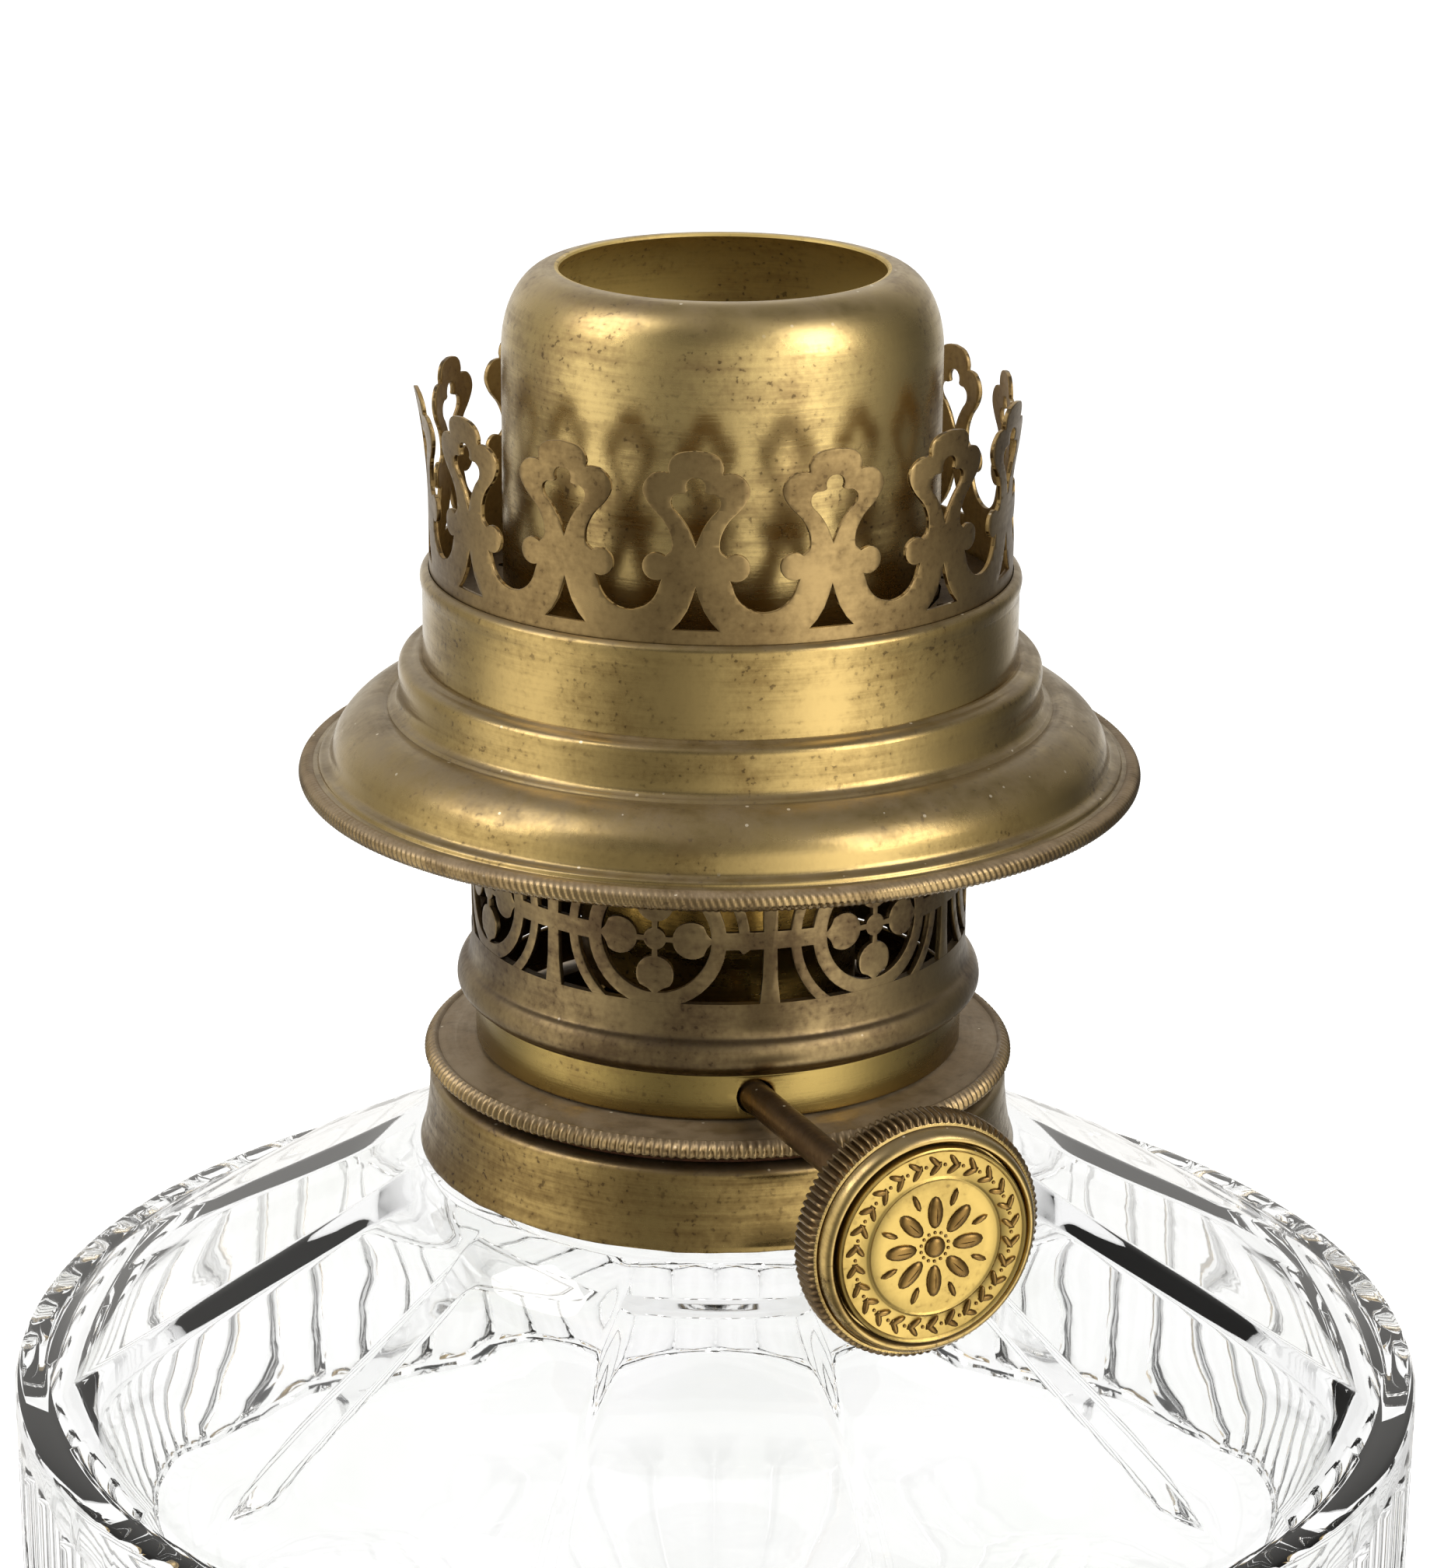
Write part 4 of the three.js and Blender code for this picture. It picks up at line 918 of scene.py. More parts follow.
@dataclass
class GlassFont:
    """Pressed glass font: fluted wall under scalloped arches, and a facetted ogee shoulder."""

    flutes: int = 64
    flute_columns: int = 8
    flute_depth: float = 1.7
    scallops: int = 8
    scallop_drop: float = 4.0
    facets: int = 12
    radius: float = 81.0
    wall: float = 6.0
    corner: float = 15.0
    rim_band: float = 2.6
    rim_width: float = 4.0
    peg_radius: float = 20.0
    neck_radius: float = 31.0
    neck_bore: float = 27.0
    shoulder_foot: float = 34.3
    shoulder_rise: float = 25.6
    floor: float = 6.0

    def outside(self) -> Path:
        """Draw the outer face from the underside of the peg up to the neck, before it is fluted."""
        peg, top = foot_of("glass_font"), top_of("glass_font")
        base, rim, shoulder = self.levels()
        wall_low = base + self.corner
        wall_high = rim - self.rim_band
        rows = [wall_low + (wall_high - wall_low) * i / 44 for i in range(45)]
        return [
            (0.0, peg), (self.peg_radius - 1, peg), (self.peg_radius, peg + 1.0),
            (self.peg_radius, base - 0.4), (self.peg_radius + 0.6, base), (50.0, base), (57.0, base + 0.3),
            *flowing([(61.0, base + 1.2), (67.0, base + 3.4), (72.5, base + 7.0), (77.0, base + 11.4),
                      (79.2, wall_low - 0.6)], 3),
            *[(self.radius, z) for z in rows],
            (self.radius, rim - 1.0), (self.radius - 0.3, rim - 0.3), (self.radius - 1.0, rim),
            (self.radius - self.rim_width + 0.8, rim - 0.1), (self.radius - self.rim_width, rim),
            *flowing([(75.6, rim + 1.4), (73.2, rim + 3.4), (69.0, rim + 6.2), (63.0, rim + 9.6),
                      (56.0, rim + 13.4), (49.0, rim + 17.2), (42.5, rim + 20.9), (37.6, rim + 23.9),
                      (self.shoulder_foot, shoulder - 0.1)], 3),
            (self.neck_radius + 1.2, shoulder), (self.neck_radius, shoulder + 0.4),
            (self.neck_radius, top - 0.5), (self.neck_radius - 0.5, top),
        ]

    def inside(self) -> Path:
        """Draw the inner face from the neck down to the middle of the floor."""
        top = top_of("glass_font")
        base, rim, shoulder = self.levels()
        wide = self.radius - self.flute_depth - self.wall
        floor = base + self.floor
        return [
            (self.neck_bore + 0.5, top), (self.neck_bore, top - 0.5), (self.neck_bore, shoulder - 4.4),
            *flowing([(self.neck_bore + 0.6, shoulder - 5.6), (31.0, shoulder - 7.6), (38.0, rim + 15.4),
                      (48.0, rim + 10.4), (58.0, rim + 5.2), (66.0, rim + 0.6), (71.0, rim - 3.2),
                      (wide, rim - 7.0), (wide, rim - 12.0)], 4),
            (wide, floor + self.corner + 4), *flowing([(wide, floor + self.corner), (72.0, floor + 9.0),
                                                       (66.0, floor + 3.0), (58.0, floor + 0.4)], 3),
            (40.0, floor), (0.0, floor),
        ]

    def levels(self) -> tuple[float, float, float]:
        """Give the levels of the underside, the rim and the shoulder's top."""
        shoulder = foot_of("font_collar") - SEAT_GAP
        return top_of("font_cup") + SEAT_GAP, shoulder - self.shoulder_rise, shoulder

    def scallop(self, angle: float) -> float:
        """Give the height share of the arches at an angle in degrees: 1 at their points."""
        share = (angle / 360 * self.scallops + 0.5) % 1
        return (2 * abs(share - 0.5)) ** 2

    def shape(self, bm: Mesh) -> None:
        """Press the flutes, arches and facets into the turned outside."""
        base, rim, shoulder = self.levels()
        wall_low, wall_high = base + self.corner, rim - self.rim_band
        half = math.pi / self.flutes
        for vert in bm.verts:
            radius = math.hypot(vert.co.x, vert.co.y)
            angle = math.atan2(vert.co.x, -vert.co.y)
            level = vert.co.z
            turn = math.degrees(angle) % 360
            if radius > 78.5 and wall_low - 1 < level < rim - 0.5:
                sunk = self.scallop_drop * (1 - self.scallop(turn))
                rise = min(max((level - wall_low) / (wall_high - wall_low), 0), 1)
                if level <= wall_high + WELD:
                    level = wall_low + (wall_high - sunk - wall_low) * rise if level > wall_low else level
                across = ((angle / half) % 2) - 1
                hollow = 1 - across * across
                head = wall_high - sunk - 0.6 - 3.6 * (1 - math.sqrt(max(hollow, 0)))
                tail = wall_low + 0.4 + 2.4 * (1 - math.sqrt(max(hollow, 0)))
                inner = min(max((head - level) / 1.0, 0), 1) * min(max((level - tail) / 1.4, 0), 1)
                radius -= self.flute_depth * hollow * inner * inner * (3 - 2 * inner)
            if rim + 0.5 < level < shoulder + 0.2 and radius > self.neck_radius + 1.5:
                width = 2 * math.pi / self.facets
                local = abs((angle % width) / width - 0.5) * 2
                flat = math.cos(width / 2) / math.cos((local - 1) * width / 2) if local < 1 else 1.0
                fade = min((level - rim) / 5, 1) * min((radius - self.shoulder_foot) / 9, 1)
                radius *= 1 - (1 - flat) * max(fade, 0)
            length = math.hypot(vert.co.x, vert.co.y)
            if length > WELD:
                vert.co.x *= radius / length
                vert.co.y *= radius / length
            vert.co.z = level

    def build(self, finishes: Finishes) -> None:
        """Build the font as one closed body of glass."""
        outer = lathe([*self.outside(), *self.inside()], self.flutes * self.flute_columns, ring=False)
        self.shape(outer)
        bmesh.ops.recalc_face_normals(outer, faces=outer.faces)
        finish("font_glass", outer, finishes.glass, Body.STAND, ["glass_font"],
               angle=math.radians(28))


@dataclass
class Collar:
    """Spun collar that is set on the neck, with its plaster and washer."""

    radius: float = 32.8
    flare: float = 1.2
    bore: float = 25.8
    tube: float = 26.6

    def build(self, finishes: Finishes) -> None:
        """Build the collar and the leather washer."""
        top, low = top_of("font_collar"), foot_of("font_collar")
        outside = [
            (self.bore, top), (self.radius - 1.2, top), (self.radius - 0.6, top - 0.1),
            (self.radius - 0.15, top - 0.45), (self.radius, top - 0.9), (self.radius + 0.05, top - 2.4),
            (self.radius + 0.3, top - 5.0), (self.radius + 0.75, low + 1.3), (self.radius + 1.05, low + 0.7),
            (self.radius + self.flare, low + 0.2), (self.radius + self.flare - 0.05, low),
            (self.radius + self.flare - 0.6, low), (self.radius + 0.2, low + 1.0),
            (self.radius - 0.6, top - 1.4), (self.tube, top - 1.2), (self.tube, top - 8.0),
            (self.bore, top - 8.0),
        ]
        bm = lathe(outside, 192)
        for vert in bm.verts:
            if vert.co.z < low + 0.05:
                vert.co.z += 0.12 * noise.noise(vert.co * 0.35)
        finish("collar_spun", bm, finishes.collar, Body.STAND, ["font_collar"])
        washer_low, washer_top = foot_of("collar_washer"), top_of("collar_washer")
        washer = [(26.1, washer_low), (30.8, washer_low), (31.1, washer_low + 0.3), (30.8, washer_top),
                  (26.1, washer_top)]
        finish("washer_ring", lathe(washer, 96), finishes.leather, Body.WASHER,
               ["collar_washer"])


@dataclass
class BurnerBase:
    """Knurled base, band and bead of the burner."""

    ribs: int = 212
    edge: float = 33.4
    skirt: float = 25.4
    skirt_bore: float = 22.8
    band_radius: float = 27.5
    band_sheet: float = 0.6
    hole_radius: float = 2.05

    def base(self) -> Mesh:
        """Turn the base with its ribbed edge."""
        top, low = top_of("burner_base"), foot_of("burner_base")
        under = top - 2.4
        section = [
            (24.3, top), (28.4, top), (28.9, top - 0.12), (31.0, top - 0.2), (31.5, top - 0.42),
            (31.8, top - 0.44), (32.05, top - 0.25), (32.35, top - 0.22), (32.7, top - 0.38),
            (33.05, top - 0.68), (33.3, top - 1.05), (self.edge, top - 1.45), (33.35, top - 1.8),
            (33.1, top - 2.1), (32.6, top - 2.25), (32.0, under), (self.skirt + 0.4, under),
            (self.skirt, under - 0.3), (self.skirt, low + 0.5), (self.skirt - 0.5, low),
            (self.skirt_bore, low), (self.skirt_bore, low + 4.6), (24.3, low + 4.6),
        ]
        bm = lathe(section, self.ribs * 6)
        ripple(bm, self.ribs, 0.3, lambda r, z: min((r - 32.2) / 0.5, 1) if under + 0.1 < z else 0)
        return bm

    def band(self) -> Mesh:
        """Bend the band, with its round hole for the spindle."""
        low, top = foot_of("burner_band"), top_of("burner_band")
        half = math.pi * self.band_radius
        azimuth = math.asin(-SPINDLE.offset / self.band_radius)
        hole = arc((azimuth * self.band_radius, (top - low) / 2), self.hole_radius, 0, 345, 23)
        outline = [(-half, 0), (half, 0), (half, top - low), (-half, top - low)]
        flat = stamped([(x * 1.02, y) for x, y in outline], [hole], self.band_sheet, 0.12)
        cut_strips(flat, half, 80)
        return wrap_repeats(flat, self.band_radius, self.band_sheet, low, 1, SPINDLE.azimuth)

    def bead(self) -> Mesh:
        """Turn the bead under the pierced basket."""
        low = foot_of("air_basket")
        outside = lifted([
            (27.92, 8.1), (27.92, 6.6), *flowing([(27.96, 5.7), (28.06, 5.0), (28.22, 4.5), (28.42, 4.2)], 2),
            *flowing([(28.55, 4.1), (28.95, 3.75), (29.35, 3.05), (29.56, 2.15), (29.48, 1.4), (29.1, 0.85),
                      (28.62, 0.5)], 3),
            (28.35, 0.35), (28.2, 0.05)], low)
        return lathe([*outside, (27.0, low), (27.0, low + 8.1)], 192)

    def build(self, finishes: Finishes) -> None:
        """Build the base, the band and the bead."""
        finish("base_turned", self.base(), finishes.base, Body.BURNER, ["burner_base"])
        finish("band_strip", self.band(), finishes.band, Body.BURNER, ["burner_band"])
        finish("basket_bead", self.bead(), finishes.basket, Body.BURNER, ["air_basket"])


@dataclass
class AirBasket:
    """Pierced sheet of the basket: rings with four hearts, between curved bars and uprights."""

    radius: float = 27.9
    sheet: float = 0.6
    edge: float = 0.07
    count: int = 7
    offset: float = -14.2
    pierced: float = 15.0
    rim: float = 9.8
    ring: float = 7.8
    band: float = 1.65
    heart: float = 2.1
    hub: float = 1.25
    gap: float = 1.35
    bar: float = 1.15
    upright: float = 1.5
    crossbar: float = 2.0

    def quadrant(self) -> Path:
        """Draw the opening inside a ring, between the hearts along +X and +Y."""
        inner = self.ring - self.band
        centre = inner - self.heart
        side = arc((centre, 0), self.heart, 52, 52, 1)[0]
        tip = flowing([(inner - 0.02, 0.32), (inner - 0.45, 0.85), side], 3)
        lobe = arc((centre, 0), self.heart, 62, 171, 10)
        hub = arc((0, 0), self.hub, 14, 45, 3)
        half = [*tip, *lobe, *hub]
        rim = arc((0, 0), inner, 87, 3, 14)
        return [*rim[1:-1], *half, *[(y, x) for x, y in reversed(half[:-1])]]

    def fans(self, broken: bool) -> list[Path]:
        """Draw the openings at the upper right of a ring, with or without its curved bar."""
        low, high = self.crossbar / 2, self.pierced / 2
        post = math.pi * self.radius / self.count - self.upright / 2

        def bent(radius: float) -> Path:
            """Draw an arc about the ring's centre between the two heights."""
            angles = [math.degrees(math.asin(min(h / radius, 1))) for h in (low, high)]
            return arc((0, 0), radius, angles[0], angles[1], 8)

        side = [(post, low), (post - 0.08, (low + high) / 2), (post - 0.4, high)]
        inner = self.ring + self.gap
        if broken:
            return [[*reversed(bent(self.ring)), (inner, low), (inner + 0.4, low + 0.5),
                     (inner + 0.9, low + 0.2), (inner + self.bar, low), *side]]
        return [[*reversed(bent(self.ring)), *bent(inner)], [*reversed(bent(inner + self.bar)), *side]]

    def repeat(self, broken: bool) -> Mesh:
        """Stamp one repeat of the pattern."""
        half = math.pi * self.radius / self.count
        wide = half + 0.6
        high = self.pierced / 2 + self.rim
        low = -self.pierced / 2 - 0.45
        openings = []
        quarter = self.quadrant()
        for turn in range(4):
            cosine, sine = round(math.cos(turn * math.pi / 2)), round(math.sin(turn * math.pi / 2))
            openings.append([(x * cosine - y * sine, x * sine + y * cosine) for x, y in quarter])
        for side, end in ((1, 1), (1, -1), (-1, 1), (-1, -1)):
            gone = broken and side > 0 and end < 0
            openings += [[(side * x, end * y) for x, y in loop] for loop in self.fans(gone)]
        outline = [(-wide, low), (wide, low), (wide, high), (-wide, high)]
        flat = stamped(outline, openings, self.sheet, self.edge)
        cut_strips(flat, half, 14)
        return flat

    def build(self, finishes: Finishes) -> None:
        """Build the basket's sheet from its repeats: the one that lost a bar, and the others."""
        middle = top_of("air_basket") - self.rim - self.pierced / 2
        whole = bmesh.new()
        for index in range(self.count):
            turn = self.offset + 360 * index / self.count
            bent = wrap_repeats(self.repeat(index == 0), self.radius, self.sheet, middle, 1, turn)
            add_part(whole, bent)
        bmesh.ops.remove_doubles(whole, verts=whole.verts, dist=WELD * 5)
        finish("basket_sheet", whole, finishes.basket, Body.BURNER, ["air_basket"])


@dataclass
class WickWorks:
    """Wick tube, draft tube and wick."""

    tube: float = 15.5
    tube_sheet: float = 0.5
    notch: float = 3.0
    duct_half: float = 7.3
    draft: float = 12.2
    wick_outer: float = 14.7
    wick_thickness: float = 2.2
    wheel_room: float = 2.6
    tail_back: float = 0.4
    tail_half: float = 13.2
    duct_height: float = 8.0
    duct_half_width: float = 7.0
    duct_start: float = 11.6
    duct_end: float = 17.5
    notch_rise: float = 5.6
    wick_lower: float = 6.0
    cloth_foot: float = 11.9
    tail_rise: float = 7.2
    worn_depth: float = 0.6

    def strip(self, radius: float, thickness: float, low: float, high: float, notch: float, notch_top: float,
              window: tuple[float, float], open_below: bool) -> Mesh:
        """Bend a tube from a strip with a notch on its -X side and a window on its +X side.

        Args:
            radius: its outer radius.
            thickness: its wall.
            low: its lower level.
            high: its upper level.
            notch: distance of the notch's face from the axis.
            notch_top: level of the notch's top.
            window: levels of the window's lower and upper edge.
            open_below: whether the window runs down through the lower edge.

        Returns:
            The tube.
        """
        half = math.pi * radius
        start = -radius * (math.pi - math.asin(notch / radius))
        stop = -radius * math.asin(notch / radius)
        reach = radius * math.asin(self.duct_half / radius)
        centre = half / 2
        outline = [(-half, low), (start, low), (start, notch_top), (stop, notch_top), (stop, low)]
        holes = []
        if open_below:
            outline += [(centre - reach, low), (centre - reach, window[1]), (centre + reach, window[1]),
                        (centre + reach, low)]
        else:
            holes.append([(centre - reach, window[0]), (centre + reach, window[0]),
                          (centre + reach, window[1]), (centre - reach, window[1])])
        outline += [(half, low), (half, high), (-half, high)]
        wide = [(math.copysign(half * 1.02, x) if abs(abs(x) - half) < WELD else x, y) for x, y in outline]
        flat = stamped(wide, holes, thickness, min(0.12, thickness / 4))
        cut_strips(flat, half, 48)
        return wrap_repeats(flat, radius, thickness, 0.0, 1, 0.0)

    def build(self, finishes: Finishes) -> None:
        """Build the tubes and the wick."""
        turn = Matrix.Rotation(math.radians(SPINDLE.azimuth), 4, "Z")
        top = top_of("wick_tube")
        duct_low, duct_top = foot_of("draft_tube"), foot_of("draft_tube") + self.duct_height
        notch_top = SPINDLE.level() + self.notch_rise
        tube = self.strip(self.tube, self.tube_sheet, foot_of("wick_tube"), top, self.notch, notch_top,
                          (duct_low - SEAT_GAP, duct_top + SEAT_GAP), False)
        finish("wick_tube_rolled", tube, finishes.tube, Body.BURNER, ["wick_tube"], turn)
        draft = [(0.0, duct_low), (self.draft - 0.4, duct_low), (self.draft, duct_low + 0.4),
                 (self.draft, top - 0.15), (self.draft - 0.15, top), (self.draft - 0.4, top),
                 (self.draft - 0.5, top - 0.15), (self.draft - 0.5, duct_low + 0.9), (0.0, duct_low + 0.5)]
        finish("draft_tube_turned", lathe(draft, 96, ring=False), finishes.tube, Body.BURNER,
               ["draft_tube"], turn)
        box = slab((self.duct_start, -self.duct_half_width, duct_low),
                   (self.duct_end, self.duct_half_width, duct_top), 0.3)
        finish("draft_duct_folded", box, finishes.tube, Body.BURNER, ["draft_tube"], turn)
        cloth_low = foot_of("burner_base") + self.cloth_foot
        cloth = self.strip(self.wick_outer, self.wick_thickness, cloth_low, top_of("wick"), self.wheel_room,
                           notch_top + self.wick_lower, (duct_low, duct_top + self.wick_lower + SEAT_GAP),
                           True)
        tail = slab((-self.wheel_room, -self.tail_half, foot_of("wick")),
                    (-self.tail_back, self.tail_half, SPINDLE.level() + self.tail_rise), 0.5)
        add_part(cloth, tail)
        worn = top_of("wick") - self.worn_depth
        for vert in cloth.verts:
            if vert.co.z > worn:
                vert.co.z -= 0.35 * abs(noise.noise(vert.co * 1.7))
        finish("wick_cloth", cloth, finishes.cotton, Body.WICK, ["wick"], turn)


@dataclass(frozen=True)
class SpindleLine:
    """Where the spindle lies."""

    azimuth: float = 24.5
    offset: float = 7.5

    def level(self) -> float:
        """Give the level of the spindle's axis."""
        return (foot_of("burner_band") + top_of("burner_band")) / 2

    def place(self) -> Matrix:
        """Give the place of pieces that are turned about local Z, outwards along the spindle."""
        turn = math.radians(self.azimuth)
        out = Vector((math.sin(turn), -math.cos(turn), 0))
        side = Vector((math.cos(turn), math.sin(turn), 0))
        frame = Matrix((side, Vector((0, 0, 1)), out)).transposed().to_4x4()
        frame.translation = -self.offset * side + Vector((0, 0, self.level()))
        return frame


SPINDLE = SpindleLine()


@dataclass
class Spindle:
    """Spindle rod, stop and the knob with its raised rosette."""

    rod: float = 1.75
    tail: float = -15.3
    stop: float = 13.1
    stop_width: float = 2.0
    knob_back: float = 62.6
    knob_thick: float = 5.8
    knob_radius: float = 13.1
    knob_ribs: int = 100
    rim_depth: float = 1.7
    hub: float = 4.0
    medal: float = 10.55
    dome: float = 0.7
    sunk: float = 0.1
    leaves: int = 26
    petals: int = 8

    def rise(self, radius: float) -> float:
        """Give the medallion's height at a radius, over the knob's front."""
        share = min(radius / (self.medal - 0.4), 1)
        return self.dome * math.sqrt(max(1 - share ** 2, 0)) * 0.55 + 0.1

    def front(self) -> float:
        """Give how far out the knob's front lies."""
        return self.knob_back + self.knob_thick

    def ground(self, radius: float) -> float:
        """Give how far out the medallion's ground lies at a radius."""
        return self.front() - self.sunk + self.rise(radius)

    def knob(self) -> Mesh:
        """Turn the knob's disc with its ribbed edge and raised rim."""
        back, front = self.knob_back, self.front()
        section = [
            (self.rod + 0.3, back - 2.0), (self.hub - 0.3, back - 2.0), (self.hub, back - 1.7),
            *flowing([(self.hub, back - 0.5), (4.6, back), (8.0, back + 0.1), (11.0, back + 0.1),
                      (12.1, back + 0.15)], 2),
            (12.7, back + 0.4), (12.98, back + 0.8), (self.knob_radius, back + 1.5),
            (self.knob_radius, front - 2.7), (13.0, front - 2.2), (12.8, front - 1.85), (12.45, front - 1.62),
            (12.4, front - 1.6), (12.15, front - 1.55), (12.08, front - 1.68), (12.02, front - 1.55),
            *flowing([(12.0, front - 1.35), (11.93, front - 0.95), (11.72, front - 0.45),
                      (11.4, front - 0.12), (11.1, front - 0.05), (10.9, front - 0.22),
                      (10.75, front - 0.55)], 3),
            (10.7, front - 1.4), (0.0, front - 1.4), (0.0, back + 2.0), (self.rod + 0.3, back + 2.0),
        ]
        bm = lathe(section, self.knob_ribs * 6)
        ripple(bm, self.knob_ribs, 0.5, lambda r, z: min((r - 12.42) / 0.3, 1) if z < front - 1.61 else 0)
        return bm

    def face(self) -> Mesh:
        """Turn the medallion's domed ground with its rings."""
        front = self.front()
        radii = [10.45, 10.3, 10.15, 10.0, 9.8, 8.8, 7.6, 7.45, 7.3, 7.15, 7.0, 5.6, 4.0, 2.0, 1.0]
        ridge = {10.45: 0.2, 10.3: 0.3, 10.15: 0.22, 7.45: 0.1, 7.3: 0.19, 7.15: 0.1}
        run = [(r, self.ground(r) + ridge.get(r, 0.0)) for r in radii]
        section = [(0.0, front - 1.2), (self.medal, front - 1.2), (self.medal, front - 0.2), *run,
                   (0.0, self.ground(0))]
        return lathe(section, 144, ring=False)

    def relief(self) -> Mesh:
        """Raise the rosette: petals round a boss, a leaf ring and a bead ring."""
        bm = bmesh.new()

        def put(part: Mesh, radius: float, angle: float, lean: float = 0.0) -> None:
            """Set a part on the face at a radius and angle."""
            spot = Matrix.Rotation(angle, 4, "Z") @ Matrix.Translation((0, radius, self.ground(radius)))
            add_part(bm, part, spot @ Matrix.Rotation(lean, 4, "Z"))

        put(bead((1.15, 1.15, 0.65), 20, 10), 0.0, 0.0)
        for i in range(14):
            put(bead((0.2, 0.2, 0.2), 8, 4), 1.55, 2 * math.pi * i / 14)
        for i in range(self.petals):
            angle = 2 * math.pi * i / self.petals
            put(bead((0.85, 1.75, 0.5), 14, 8), 3.7, angle)
            put(bead((0.1, 1.35, 0.6), 8, 6), 3.6, angle)
            put(bead((0.34, 1.0, 0.36), 8, 6), 5.4, angle + math.pi / self.petals)
        for i in range(self.leaves):
            angle = 2 * math.pi * i / self.leaves
            for lean in (0.8, -0.8):
                put(bead((0.34, 0.95, 0.34), 10, 6), 8.72 + 0.34 * math.copysign(1, lean), angle, lean)
            put(bead((0.21, 0.21, 0.2), 8, 4), 8.72, angle + math.pi / self.leaves)
        return bm

    def build(self, finishes: Finishes) -> None:
        """Build the rod, the stop and the knob."""
        place = SPINDLE.place()
        end = self.knob_back + self.knob_thick / 3 - SEAT_GAP
        rod = [(0.0, self.tail), (self.rod - 0.3, self.tail), (self.rod, self.tail + 0.3),
               (self.rod, end - 0.2), (0.0, end)]
        finish("spindle_turned", lathe(rod, 48, ring=False), finishes.rod, Body.SPINDLE,
               ["spindle_rod"], place)
        near, far, bore = self.stop, self.stop + self.stop_width, self.rod + SEAT_GAP
        collar = [(bore, near), (2.9, near), (3.2, near + 0.3), (3.2, far - 0.3), (2.9, far), (bore, far)]
        finish("stop_turned", lathe(collar, 40), finishes.rod, Body.SPINDLE, ["spindle_stop"],
               place)
        knob = finish("knob_turned", self.knob(), finishes.knob, Body.SPINDLE, ["knob_disc"],
                      place)
        outward = place.to_3x3() @ Vector((0, 0, 1))
        rim_start = (self.front() - self.rim_depth) * MM
        dress_faces(knob, finishes.drum, lambda centre, normal: centre.dot(outward) > rim_start)
        finish("medallion_ground", self.face(), finishes.medal, Body.SPINDLE, ["knob_medallion"],
               place)
        finish("medallion_relief", self.relief(), finishes.relief, Body.SPINDLE,
               ["knob_medallion"], place)


@dataclass
class Crown:
    """Pierced crown of fourteen prongs that holds the chimney."""

    radius: float = 32.1
    sheet: float = 0.5
    edge: float = 0.09
    count: int = 14
    offset: float = -4.7
    scallop: float = 3.4
    foot: float = 17.4
    tip: float = 13.85
    leans: tuple[float, ...] = (0.6, 0.9, 0.9, 0.9, -0.3, -0.2, 0.5, 0.5, 0.5, 0.2, 0.0, 1.4, 1.0, 0.7)

    def prong_edge(self, half: float) -> Path:
        """Draw a prong's right edge from beyond the middle of the gap up to its tip."""
        scallop = arc((half, 0), self.scallop, 290, 194, 14)
        ball = arc((4.15, 1.4), 1.48, -112, 128, 16)
        head = flowing([(2.78, 2.95), (2.5, 3.45), (2.62, 4.8), (3.4, 6.35), (4.75, 7.8), (5.5, 9.2),
                        (5.3, 10.4), (4.4, 11.3), (3.35, 11.5), (2.8, 11.42)], 4)
        tip = flowing([(2.78, 11.6), (2.86, 12.1), (2.5, 13.0), (1.6, 13.62), (0.0, self.tip)], 4)
        return [*scallop, *ball, *head, *tip]

    def heart(self) -> Path:
        """Draw the heart opening with its tab."""
        half = [(0.0, 11.0), *arc((0.0, 10.05), 0.98, 70, -28, 5), (1.0, 9.42), (1.3, 9.3),
                *flowing([(1.9, 9.28), (2.4, 8.9), (2.55, 8.3), (2.3, 7.6), (1.6, 6.85), (0.85, 5.75),
                          (0.35, 4.7)], 3),
                (0.0, 3.8)]
        return [*half, *mirrored(half)]

    def triangle(self) -> Path:
        """Draw the opening between the feet of two arches."""
        half = [(0.0, -0.75), (0.35, -1.9), (0.85, -3.2), (1.6, -4.4), (2.45, -5.3), (1.2, -5.3)]
        return [*half, *mirrored(half)]

    def build(self, finishes: Finishes) -> None:
        """Build the crown, its prongs leaning out a little unevenly."""
        half = math.pi * self.radius / self.count
        edge = self.prong_edge(half)
        right = [(edge[0][0], -self.foot), *edge]
        flat = stamped([*right, *mirrored(right)], [self.heart(), self.triangle()], self.sheet, self.edge)
        cut_strips(flat, half, 9)
        slice_flat(flat, 1, [-6 + 1.6 * i for i in range(12)])
        chance = random.Random(5)
        twists = [chance.uniform(-0.25, 0.25) for _ in range(self.count)]

        def lean(index: int, x: float, y: float) -> float:
            """Lean a prong outwards towards its tip, and twist it slightly."""
            share = max((y + 1.0) / (self.tip + 1.0), 0.0)
            return self.leans[index] * share ** 2.2 + twists[index] * x / 5 * share ** 2

        level = top_of("crown") - self.tip
        bent = wrap_repeats(flat, self.radius, self.sheet, level, self.count, self.offset, lean)
        crown = finish("crown_stamped", bent, finishes.crown, Body.GALLERY, ["crown"])
        # The crown's inner faces take a paler copy of its brass: painted light, so that they read lit in the
        # dome's reflection.
        dress_faces(crown, finishes.lining, faces_axis)


